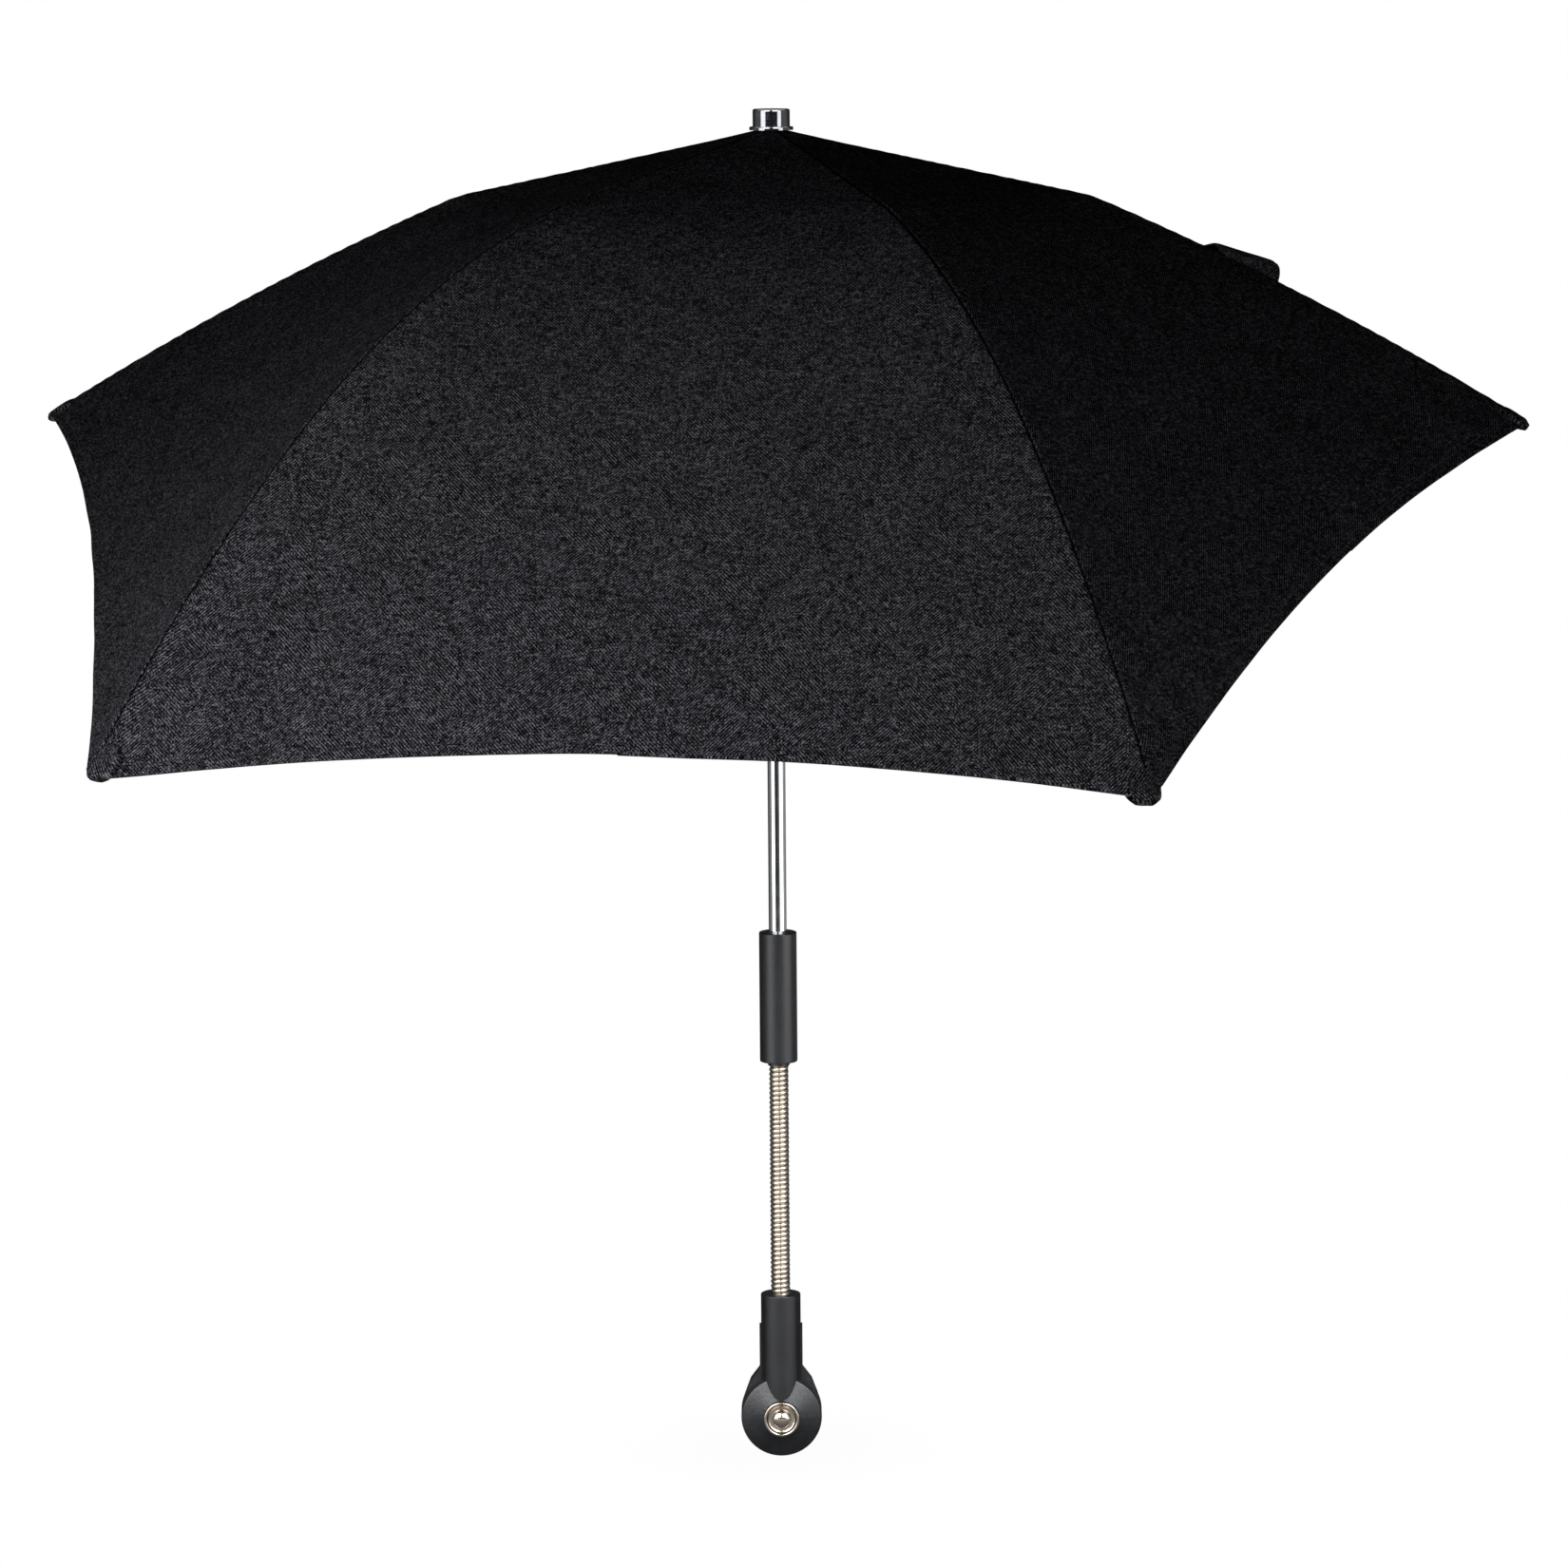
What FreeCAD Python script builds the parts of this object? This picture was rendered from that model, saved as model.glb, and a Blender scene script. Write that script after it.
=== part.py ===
import FreeCAD, Part
import math
import os
import re

import Sketcher
from FreeCAD import Placement, Rotation, Vector

# A pram parasol: a plug-in swivel foot, a wound gooseneck arm, a chrome pole and a folding
# canopy on six ribs, two of them longer so that the shade reaches forward.
# Frame: +Z up, viewer at -Y, origin at the middle of the foot's back face.

doc = FreeCAD.newDocument("PramParasol")

# Driving sizes in millimetres, degrees and counts
SIZES = {
    # Fits
    "press_gap": 0.02,
    "slip": 0.06,
    "seat_gap": 0.3,
    # Foot
    "plate_radius": 17.0,
    "plate_thickness": 5.0,
    "spigot_radius": 7.0,
    "spigot_length": 22.0,
    "spigot_chamfer": 1.2,
    "snap_groove_depth": 0.9,
    "snap_groove_width": 3.0,
    "snap_groove_setback": 5.0,
    "friction_washer_radius": 14.0,
    "friction_washer_thickness": 0.8,
    "rivet_radius": 2.5,
    "rivet_reach": 12.0,
    "rivet_dome_radius": 4.6,
    "rivet_dome_height": 3.4,
    "rivet_dome_rounding": 3.3,
    "swivel_radius": 19.3,
    "swivel_back_thickness": 9.2,
    "swivel_rim_depth": 7.7,
    "swivel_rim_rounding": 1.4,
    "swivel_dome_rise": 3.3,
    "swivel_flat_radius": 8.6,
    "neck_width": 20.6,
    "neck_height": 42.3,
    "shoulder_top": 21.5,
    "shoulder_width": 29.2,
    "shoulder_height": 15.8,
    "shoulder_foot": 8.0,
    "socket_radius": 9.5,
    "socket_height": 59.3,
    "socket_root": 6.0,
    "edge_rounding": 0.6,
    "cup_radius": 8.5,
    "cup_sheet": 0.8,
    "cup_floor_radius": 6.2,
    "cup_rise": 2.2,
    # Gooseneck arm
    "wire_diameter": 1.8,
    "coil_radius": 4.65,
    "coil_pitch": 2.29,
    "coil_lead_out": 2.6,
    "gooseneck_length": 111.0,
    "ferrule_wall": 0.45,
    "ferrule_floor": 5.0,
    "ferrule_depth": 6.0,
    "neck_collar": 1.8,
    # Sleeve and pole
    "sleeve_radius": 8.95,
    "sleeve_length": 62.4,
    "sleeve_seat": 17.0,
    "pole_radius": 4.25,
    "pole_wall": 0.6,
    "pole_exposed": 373.8,
    # Crown and cap, with the canopy turned a little on its pole
    "canopy_turn": -10.0,
    "pin_circle": 9.5,
    "pin_radius": 0.6,
    "hub_radius": 7.0,
    "hub_rise": 2.7,
    "notch_ring_radius": 12.0,
    "notch_ring_rise": 1.6,
    "notch_ring_drop": 3.2,
    "notch_width": 3.2,
    "notch_floor": 7.3,
    "pin_length": 5.6,
    "stud_radius": 2.0,
    "stud_bury": 2.0,
    "flange_radius": 10.3,
    "flange_thickness": 1.6,
    "cap_radius": 8.7,
    "cap_height": 8.2,
    "cap_wall": 1.1,
    "cap_boss_radius": 4.0,
    "cap_rounding": 0.9,
    # Runner
    "barrel_radius": 7.0,
    "barrel_length": 36.0,
    "boss_radius": 4.4,
    "boss_reach": 10.5,
    "boss_setback": 7.0,
    "button_radius": 2.6,
    "button_length": 6.0,
    "button_inner_end": 6.6,
    # Ribs and stretchers
    "rib_radius": 1.3,
    "rib_slope": 11.7,
    "rib_inner_length": 137.0,
    "rib_bend_length": 12.0,
    "eye_radius": 1.8,
    "eye_thickness": 2.0,
    "short_bend": 11.4,
    "short_bow": 4.2,
    "short_half_length": 110.0,
    "long_bend": 6.0,
    "long_bow_near": 22.4,
    "long_bow_far": 12.5,
    "long_half_length": 185.5,
    "joint_distance": 133.0,
    "joint_drop": 3.6,
    "joint_pin_radius": 0.7,
    "bracket_length": 8.0,
    "bracket_width": 5.2,
    "bracket_rise": 1.9,
    "bracket_drop": 5.3,
    "bracket_slot": 2.6,
    "stretcher_radius": 1.6,
    "tip_radius": 2.4,
    "tip_length": 9.0,
    "tip_bore_depth": 6.0,
    "tip_rounding": 1.6,
    "tip_setback": 0.8,
    # Cloth
    "cloth_thickness": 1.2,
    "cloth_rise": 4.0,
    "cloth_inner_radius": 6.0,
    "hem_arch": 18.0,
    "strap_start": 204.0,
    "strap_width": 36.0,
    "strap_root": 0.06,
    "strap_end": 0.62,
    "strap_thickness": 2.4,
    "strap_lift": 6.5,
}
sheet = doc.addObject("Spreadsheet::Sheet", "Sizes")
for row, (name, number) in enumerate(SIZES.items(), start=1):
    sheet.set("A%d" % row, name)
    sheet.set("B%d" % row, str(number))
    sheet.setAlias("B%d" % row, name)
desk = doc.addObject("Spreadsheet::Sheet", "Desk")
doc.recompute()


def bound(text):
    """An expression on the sheet's cells, from one written with their bare names."""
    return re.sub("[a-z_]+", lambda name: "Sizes." * (name.group(0) in SIZES) + name.group(0), text)


def value(text):
    """The number that such an expression gives now, worked out in a spare cell."""
    desk.set("A1", "=" + bound(text))
    desk.recompute()
    return float(desk.get("A1"))


# The ribs in order round the pole from +X, each short or long
RIBS = [("right", "short"), ("back_right", "short"), ("back_left", "short"),
        ("left", "short"), ("front_left", "long"), ("front_right", "long")]
RIB_STEP = 360.0 / len(RIBS)

# Heights and setbacks that several pieces share, written on the driving sizes
POLE_Y = "-(plate_thickness + friction_washer_thickness + swivel_back_thickness" \
         " + swivel_rim_depth + swivel_dome_rise - socket_radius)"
BACK_FACE = "(plate_thickness + friction_washer_thickness)"
PARTING = "(plate_thickness + friction_washer_thickness + swivel_back_thickness)"
HEAD_FRONT = "(plate_thickness + friction_washer_thickness + swivel_back_thickness" \
             " + swivel_rim_depth + swivel_dome_rise)"
COLLAR_FOOT = "(socket_height + gooseneck_length)"
SLEEVE_FOOT = "(socket_height + gooseneck_length + neck_collar)"
CROWN_Z = "(socket_height + gooseneck_length + neck_collar + sleeve_length + pole_exposed)"
RUNNER_DROP = "(2 * (joint_distance * sin(rib_slope * 1 deg) + joint_drop * cos(rib_slope * 1 deg)))"
STRETCHER_LENGTH = "sqrt(joint_distance ^ 2 + joint_drop ^ 2)"
CLOTH_TOP = "(cloth_rise / cos(rib_slope * 1 deg)" \
            " + (pin_circle - cloth_inner_radius) * tan(rib_slope * 1 deg))"
FLANGE_FOOT = "(" + CLOTH_TOP + " + seat_gap / 2)"
FERRULE_BORE = "(coil_radius + seat_gap / 3)"
FERRULE_RADIUS = "(coil_radius + seat_gap / 3 + ferrule_wall)"
FORWARD = Rotation(Vector(1, 0, 0), 90)
UPRIGHT = Rotation()


def stand(piece, x="0", y="0", z="0", turn=UPRIGHT):
    """Places a piece by expressions, so that it follows the sizes it stands on."""
    piece.Placement = Placement(Vector(), turn)
    for axis, text in (("x", x), ("y", y), ("z", z)):
        piece.setExpression("Placement.Base." + axis, bound(text))
    return piece


def turned_with_canopy(piece):
    """Turns a piece that stands on the pole's axis as far as the canopy is turned."""
    base = piece.Placement.Base
    piece.Placement = Placement(base, Rotation(Vector(0, 0, 1), value("canopy_turn")))
    piece.setExpression("Placement.Rotation.Angle", bound("canopy_turn * 1 deg"))
    return piece


def origin_plane(body, role):
    return next(plane for plane in body.Origin.OriginFeatures if plane.Role == role)


def drawn(body, role, corners):
    """A closed outline on one of the body's own planes, each corner held by two expressions."""
    sketch = body.newObject("Sketcher::SketchObject", body.Name + "Outline")
    sketch.AttachmentSupport = [(origin_plane(body, role), "")]
    sketch.MapMode = "FlatFace"
    points = [Vector(value(across), value(up), 0) for across, up in corners]
    for index, point in enumerate(points):
        sketch.addGeometry(Part.LineSegment(point, points[(index + 1) % len(points)]))
    for index in range(len(points)):
        sketch.addConstraint(
            Sketcher.Constraint("Coincident", index, 2, (index + 1) % len(points), 1))
    for index, (point, texts) in enumerate(zip(points, corners)):
        held = (("DistanceX", point.x, texts[0], -2), ("DistanceY", point.y, texts[1], -1))
        for kind, number, text, axis in held:
            if abs(number) < 1e-9:
                sketch.addConstraint(Sketcher.Constraint("PointOnObject", index, 1, axis))
            elif number > 0:
                place = sketch.addConstraint(
                    Sketcher.Constraint(kind, -1, 1, index, 1, number))
                sketch.setExpression("Constraints[%d]" % place, bound(text))
            else:
                place = sketch.addConstraint(
                    Sketcher.Constraint(kind, index, 1, -1, 1, -number))
                sketch.setExpression("Constraints[%d]" % place, bound("-(%s)" % text))
    return sketch


def turned(label, corners):
    """A piece turned about its own upright axis, from (radius, height) corners."""
    body = doc.addObject("PartDesign::Body", label)
    sketch = drawn(body, "XZ_Plane", corners)
    solid = body.newObject("PartDesign::Revolution", label + "Turn")
    solid.Profile = sketch
    solid.ReferenceAxis = (sketch, ["V_Axis"])
    solid.Angle = 360
    doc.recompute()
    return body


def rounded(body, radius, height, rounding):
    """Rounds the turned edge that lies at this radius and height."""
    base = body.Tip
    wanted_radius = value(radius)
    wanted_height = value(height)
    near = 1e-4
    names = []
    for index, edge in enumerate(base.Shape.Edges, start=1):
        middle = edge.BoundBox.Center
        wide = edge.BoundBox.XLength / 2
        if abs(middle.z - wanted_height) < near and abs(wide - wanted_radius) < near:
            names.append("Edge%d" % index)
    fillet = body.newObject("PartDesign::Fillet", body.Name + "Rounding")
    fillet.Base = (base, names)
    fillet.setExpression("Radius", bound(rounding))
    doc.recompute()
    return body


def padded(label, corners, depth):
    """A plate cut to an outline seen from the front, its depth towards the viewer."""
    body = doc.addObject("PartDesign::Body", label)
    sketch = drawn(body, "XZ_Plane", corners)
    plate = body.newObject("PartDesign::Pad", label + "Plate")
    plate.Profile = sketch
    plate.setExpression("Length", bound(depth))
    doc.recompute()
    return body


def bar(name, radius, height):
    rod = doc.addObject("Part::Cylinder", name)
    rod.setExpression("Radius", bound(radius))
    rod.setExpression("Height", bound(height))
    return rod


def block(name, length, width, height):
    box = doc.addObject("Part::Box", name)
    box.setExpression("Length", bound(length))
    box.setExpression("Width", bound(width))
    box.setExpression("Height", bound(height))
    return box


def joined(label, pieces):
    fuse = doc.addObject("Part::MultiFuse", label)
    fuse.Shapes = pieces
    return fuse


def cut(label, base, tool):
    difference = doc.addObject("Part::Cut", label)
    difference.Base = base
    difference.Tool = tool
    return difference


nodes = []


def node(piece):
    nodes.append(piece)
    return piece


# Foot, each turned piece with its axis along Y and its local Z towards the viewer
plug = turned("mount_plug", [
    ("0", "0"),
    ("spigot_radius - spigot_chamfer", "0"),
    ("spigot_radius", "spigot_chamfer"),
    ("spigot_radius", "snap_groove_setback"),
    ("spigot_radius - snap_groove_depth", "snap_groove_setback"),
    ("spigot_radius - snap_groove_depth", "snap_groove_setback + snap_groove_width"),
    ("spigot_radius", "snap_groove_setback + snap_groove_width"),
    ("spigot_radius", "spigot_length"),
    ("plate_radius", "spigot_length"),
    ("plate_radius", "spigot_length + plate_thickness"),
    ("rivet_radius + press_gap", "spigot_length + plate_thickness"),
    ("rivet_radius + press_gap", "spigot_length - rivet_reach"),
    ("0", "spigot_length - rivet_reach"),
])
rounded(plug, "plate_radius", "spigot_length + plate_thickness", "edge_rounding")
node(stand(plug, y="spigot_length", turn=FORWARD))

friction_washer = turned("friction_washer", [
    ("rivet_radius + slip", "0"),
    ("friction_washer_radius", "0"),
    ("friction_washer_radius", "friction_washer_thickness"),
    ("rivet_radius + slip", "friction_washer_thickness"),
])
node(stand(friction_washer, y="-plate_thickness", turn=FORWARD))

back_disc = turned("SwivelBackDisc", [
    ("0", "0"),
    ("swivel_radius", "0"),
    ("swivel_radius", "swivel_back_thickness"),
    ("0", "swivel_back_thickness"),
])
rounded(back_disc, "swivel_radius", "0", "swivel_rim_rounding")
stand(back_disc, y="-" + BACK_FACE, turn=FORWARD)
neck_half = [
    ("neck_width / 2", "neck_height"),
    ("neck_width / 2", "shoulder_top"),
    ("shoulder_width / 2", "shoulder_height"),
    ("sqrt(swivel_radius ^ 2 - shoulder_foot ^ 2)", "shoulder_foot"),
]
neck_outline = neck_half + [("-" + across, up) for across, up in reversed(neck_half)]
back_neck = stand(padded("SwivelBackNeck", neck_outline, "swivel_back_thickness"), y="-" + BACK_FACE)
back_groove = stand(bar("SwivelBackGroove", "socket_radius + press_gap", "socket_height"),
                    y=POLE_Y, z="socket_root - press_gap")
back_bore = stand(bar("SwivelBackBore", "rivet_radius + slip", HEAD_FRONT), turn=FORWARD)
back_whole = joined("SwivelBackWhole", [back_disc, back_neck])
back_tools = joined("SwivelBackTools", [back_groove, back_bore])
node(cut("swivel_back", back_whole, back_tools))

head_disc = turned("SwivelHeadDisc", [
    ("0", "0"),
    ("swivel_radius", "0"),
    ("swivel_radius", "swivel_rim_depth"),
    ("swivel_flat_radius", "swivel_rim_depth + swivel_dome_rise"),
    ("0", "swivel_rim_depth + swivel_dome_rise"),
])
rounded(head_disc, "swivel_radius", "swivel_rim_depth", "swivel_rim_rounding")
stand(head_disc, y="-" + PARTING, turn=FORWARD)
head_tube = turned("SwivelHeadTube", [
    ("0", "0"),
    ("socket_radius", "0"),
    ("socket_radius", "socket_height - socket_root"),
    ("0", "socket_height - socket_root"),
])
rounded(head_tube, "socket_radius", "socket_height - socket_root", "edge_rounding")
stand(head_tube, y=POLE_Y, z="socket_root")
head_socket = stand(bar("SwivelHeadSocket", FERRULE_RADIUS + " + press_gap",
                        "ferrule_floor + ferrule_depth + edge_rounding"),
                    y=POLE_Y, z="socket_height - ferrule_floor - ferrule_depth")
head_bore = stand(bar("SwivelHeadBore", "rivet_radius + slip", HEAD_FRONT + " + cup_sheet"),
                  turn=FORWARD)
head_whole = joined("SwivelHeadWhole", [head_disc, head_tube])
head_tools = joined("SwivelHeadTools", [head_socket, head_bore])
node(cut("swivel_head", head_whole, head_tools))

cup = turned("cup_washer", [
    ("rivet_radius + slip", "0"),
    ("cup_floor_radius + cup_sheet / 2", "0"),
    ("cup_radius", "cup_rise - cup_sheet / 2"),
    ("cup_radius", "cup_rise + cup_sheet / 2"),
    ("cup_radius - cup_sheet", "cup_rise + cup_sheet / 2"),
    ("cup_floor_radius", "cup_sheet"),
    ("rivet_radius + slip", "cup_sheet"),
])
rounded(cup, "cup_radius", "cup_rise + cup_sheet / 2", "cup_sheet * 0.4")
node(stand(cup, y="-" + HEAD_FRONT, turn=FORWARD))

rivet = turned("pivot_rivet", [
    ("0", "0"),
    ("rivet_radius", "0"),
    ("rivet_radius", "rivet_reach + " + HEAD_FRONT + " + cup_sheet"),
    ("rivet_dome_radius", "rivet_reach + " + HEAD_FRONT + " + cup_sheet"),
    ("rivet_dome_radius", "rivet_reach + " + HEAD_FRONT + " + cup_sheet + rivet_dome_height"),
    ("0", "rivet_reach + " + HEAD_FRONT + " + cup_sheet + rivet_dome_height"),
])
rounded(rivet, "rivet_dome_radius",
        "rivet_reach + " + HEAD_FRONT + " + cup_sheet + rivet_dome_height", "rivet_dome_rounding")
node(stand(rivet, y="rivet_reach", turn=FORWARD))

# End cups of the gooseneck, pressed into the socket and into the sleeve
ferrule_low = turned("gooseneck_ferrule_low", [
    ("0", "0"),
    (FERRULE_RADIUS, "0"),
    (FERRULE_RADIUS, "ferrule_floor + ferrule_depth"),
    (FERRULE_BORE, "ferrule_floor + ferrule_depth"),
    (FERRULE_BORE, "ferrule_floor"),
    ("0", "ferrule_floor"),
])
node(stand(ferrule_low, y=POLE_Y, z="socket_height - ferrule_floor - ferrule_depth"))

ferrule_top = turned("gooseneck_ferrule_top", [
    (FERRULE_BORE, "0"),
    (FERRULE_RADIUS, "0"),
    (FERRULE_RADIUS, "ferrule_floor + ferrule_depth"),
    ("0", "ferrule_floor + ferrule_depth"),
    ("0", "ferrule_depth"),
    (FERRULE_BORE, "ferrule_depth"),
])
node(stand(ferrule_top, y=POLE_Y, z=COLLAR_FOOT))


# The gooseneck's winding, one unbroken wire from the lower cup's floor to the upper one's
def arc_on_tangents(start, corner, end):
    """The arc between two points whose end tangents meet at the corner point."""
    chord_middle = (start + end) * 0.5
    reach = corner - chord_middle
    half_turn = math.atan2(reach.Length, (end - start).Length / 2)
    share = math.tan(half_turn / 2) / math.tan(half_turn)
    return Part.Arc(start, chord_middle + reach * share, end)


def biarc(start, start_way, end, end_way):
    """Two arcs that meet smoothly and leave both ends along the given ways."""
    gap = end - start
    ways = start_way + end_way
    spread = 2 * (1 - start_way.dot(end_way))
    along = gap.dot(ways)
    arm = (math.sqrt(along * along + spread * gap.dot(gap)) - along) / spread
    corner_one = start + start_way * arm
    corner_two = end - end_way * arm
    meeting = (corner_one + corner_two) * 0.5
    return [arc_on_tangents(start, corner_one, meeting),
            arc_on_tangents(meeting, corner_two, end)]


def wound_wire(foot, top):
    """The wire's centre line: a straight lead, half turns, and a straight lead out."""
    wire = value("wire_diameter")
    middle_radius = value("coil_radius") - wire / 2
    pitch = value("coil_pitch")
    lead = value("coil_lead_out")
    room = top - foot - 2 * (wire + lead)
    half_turns = int(room / pitch * 2)
    pitch = room / half_turns * 2
    lead_turn = lead / middle_radius

    def on_coil(angle, height):
        return Vector(middle_radius * math.cos(angle), middle_radius * math.sin(angle), height)

    def way(angle):
        climb = pitch / (2 * math.pi)
        return Vector(-middle_radius * math.sin(angle), middle_radius * math.cos(angle),
                      climb).normalize()

    up = Vector(0, 0, 1)
    first_height = foot + wire + lead
    lead_in = on_coil(-lead_turn, foot + wire)
    curves = [Part.LineSegment(on_coil(-lead_turn, foot), lead_in)]
    curves += biarc(lead_in, up, on_coil(0, first_height), way(0))
    for step in range(half_turns):
        here = step * math.pi
        there = here + math.pi
        curves += biarc(on_coil(here, first_height + step * pitch / 2), way(here),
                        on_coil(there, first_height + (step + 1) * pitch / 2), way(there))
    last = half_turns * math.pi
    lead_out = on_coil(last + lead_turn, top - wire)
    curves += biarc(on_coil(last, top - wire - lead), way(last), lead_out, up)
    curves.append(Part.LineSegment(lead_out, on_coil(last + lead_turn, top)))
    return curves


def least_gap(curves, wire):
    """The least gap between stretches of the wire that are over half a turn apart."""
    points = [point for curve in curves for point in curve.discretize(9)[:-1]]
    apart = 18
    least = min((one - two).Length for index, one in enumerate(points)
                for two in points[index + apart:index + 6 * apart])
    return least - wire


coil_foot = value("socket_height - ferrule_depth")
coil_top = value(COLLAR_FOOT + " + ferrule_depth")
coil_curves = wound_wire(coil_foot, coil_top)
coil_path = Part.Wire([curve.toShape() for curve in coil_curves])
coil_start = coil_curves[0].StartPoint
wire_end = Part.Wire(Part.makeCircle(value("wire_diameter") / 2, coil_start, Vector(0, 0, 1)))
coil = doc.addObject("Part::Feature", "gooseneck_coil")
coil.Shape = coil_path.makePipeShell([wire_end], True, False)
coil.Placement = Placement(Vector(0, value(POLE_Y), 0), UPRIGHT)
node(coil)
print("coil: %d curves, least gap %.3f mm, volume ratio %.5f" % (
    len(coil_curves), least_gap(coil_curves, value("wire_diameter")),
    coil.Shape.Volume / (coil_path.Length * math.pi * value("wire_diameter") ** 2 / 4)))

# Sleeve and pole
sleeve = turned("coupling_sleeve", [
    (FERRULE_RADIUS + " + press_gap", "0"),
    ("sleeve_radius", "0"),
    ("sleeve_radius", "sleeve_length"),
    ("pole_radius + press_gap", "sleeve_length"),
    ("pole_radius + press_gap", "sleeve_seat"),
    ("0", "sleeve_seat"),
    ("0", "ferrule_floor + ferrule_depth - neck_collar"),
    (FERRULE_RADIUS + " + press_gap", "ferrule_floor + ferrule_depth - neck_collar"),
])
rounded(sleeve, "sleeve_radius", "0", "edge_rounding")
rounded(sleeve, "sleeve_radius", "sleeve_length", "edge_rounding")
node(stand(sleeve, y=POLE_Y, z=SLEEVE_FOOT))

POLE_LENGTH = "(sleeve_length + pole_exposed - sleeve_seat)"
pole = turned("pole_tube", [
    ("pole_radius - pole_wall", "0"),
    ("pole_radius", "0"),
    ("pole_radius", POLE_LENGTH),
    ("pole_radius - pole_wall", POLE_LENGTH),
])
node(stand(pole, y=POLE_Y, z=SLEEVE_FOOT + " + sleeve_seat"))


def notched(body, rise, drop, pinned):
    """Cuts a slot for each rib or link through the ring, with its pin's bore where it has one."""
    plain_volume = body.Tip.Shape.Volume
    slot = drawn(body, "XY_Plane", [
        ("notch_floor", "-notch_width / 2"),
        ("notch_ring_radius + notch_width", "-notch_width / 2"),
        ("notch_ring_radius + notch_width", "notch_width / 2"),
        ("notch_floor", "notch_width / 2"),
    ])
    slot.setExpression("AttachmentOffset.Base.z", bound(drop))
    cuts = [body.newObject("PartDesign::Pocket", body.Name + "Slot")]
    cuts[0].Profile = slot
    cuts[0].Reversed = True
    cuts[0].setExpression("Length", bound("%s - (%s)" % (rise, drop)))
    if pinned:
        doc.recompute()
        ring = body.newObject("Sketcher::SketchObject", body.Name + "PinBore")
        ring.AttachmentSupport = [(origin_plane(body, "XZ_Plane"), "")]
        ring.MapMode = "FlatFace"
        place = Vector(value("pin_circle"), 0, 0)
        ring.addGeometry(Part.Circle(place, Vector(0, 0, 1), value("pin_radius + press_gap")))
        ring.addConstraint(Sketcher.Constraint("PointOnObject", 0, 3, -1))
        across = ring.addConstraint(Sketcher.Constraint("DistanceX", -1, 1, 0, 3, place.x))
        ring.setExpression("Constraints[%d]" % across, bound("pin_circle"))
        wide = ring.addConstraint(
            Sketcher.Constraint("Radius", 0, value("pin_radius + press_gap")))
        ring.setExpression("Constraints[%d]" % wide, bound("pin_radius + press_gap"))
        cuts.append(body.newObject("PartDesign::Pocket", body.Name + "Bore"))
        cuts[1].Profile = ring
        cuts[1].Midplane = True
        cuts[1].setExpression("Length", bound("pin_length"))
    doc.recompute()
    pattern = body.newObject("PartDesign::PolarPattern", body.Name + "Slots")
    pattern.Originals = cuts
    pattern.Axis = (slot, ["N_Axis"])
    pattern.Angle = 360
    pattern.Occurrences = len(RIBS)
    body.Tip = pattern
    doc.recompute()
    slot_volume = value("notch_width * (notch_ring_radius - notch_floor)")
    if plain_volume - pattern.Shape.Volume < slot_volume:
        raise ValueError(body.Label + " slots cut too little")


# Crown, its pins, and what clamps the cloth on top of it, all in heights from the pins
crown = turned("crown", [
    ("pole_radius + press_gap", "-notch_ring_drop"),
    ("notch_ring_radius", "-notch_ring_drop"),
    ("notch_ring_radius", "notch_ring_rise"),
    ("hub_radius", "notch_ring_rise"),
    ("hub_radius", "hub_rise"),
    ("stud_radius + press_gap", "hub_rise"),
    ("stud_radius + press_gap", "hub_rise - stud_bury"),
    ("0", "hub_rise - stud_bury"),
    ("0", "0"),
    ("pole_radius + press_gap", "0"),
])
notched(crown, "notch_ring_rise", "-notch_ring_drop", pinned=True)
node(turned_with_canopy(stand(crown, y=POLE_Y, z=CROWN_Z)))


def about_pole(azimuth):
    """The place of something on the pole's axis at the crown's pins, turned to a rib."""
    return Placement(Vector(0, value(POLE_Y), value(CROWN_Z)),
                     Rotation(Vector(0, 0, 1), value("canopy_turn") + azimuth))


def at_rib(azimuth, x=0.0, z=0.0, slope=0.0):
    """A place in a rib's own plane, from its crown pin, tilted down by a slope."""
    tilt = Rotation(Vector(0, 1, 0), slope)
    return about_pole(azimuth) * Placement(Vector(value("pin_circle") + x, 0, z), tilt)


crown_pin = stand(bar("CrownPin", "pin_radius", "pin_length"),
                  y="pin_length / 2", turn=FORWARD)
doc.recompute()
pin_shapes = []
for index in range(len(RIBS)):
    pin_shape = crown_pin.Shape.copy()
    pin_shape.Placement = at_rib(RIB_STEP * index) * pin_shape.Placement
    pin_shapes.append(pin_shape)
crown_pins = doc.addObject("Part::Feature", "crown_pins")
crown_pins.Shape = Part.makeCompound(pin_shapes)
node(crown_pins)

stud_foot = "hub_rise - stud_bury"
stud_top = FLANGE_FOOT + " + flange_thickness + cap_height - 2 * cap_wall - seat_gap"
node(stand(bar("cap_stud", "stud_radius", "%s - (%s)" % (stud_top, stud_foot)),
           y=POLE_Y, z=CROWN_Z + " + " + stud_foot))

flange = turned("cap_flange", [
    ("stud_radius + slip", "0"),
    ("flange_radius", "0"),
    ("flange_radius", "flange_thickness"),
    ("stud_radius + slip", "flange_thickness"),
])
rounded(flange, "flange_radius", "flange_thickness", "edge_rounding")
node(stand(flange, y=POLE_Y, z=CROWN_Z + " + " + FLANGE_FOOT))

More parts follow.
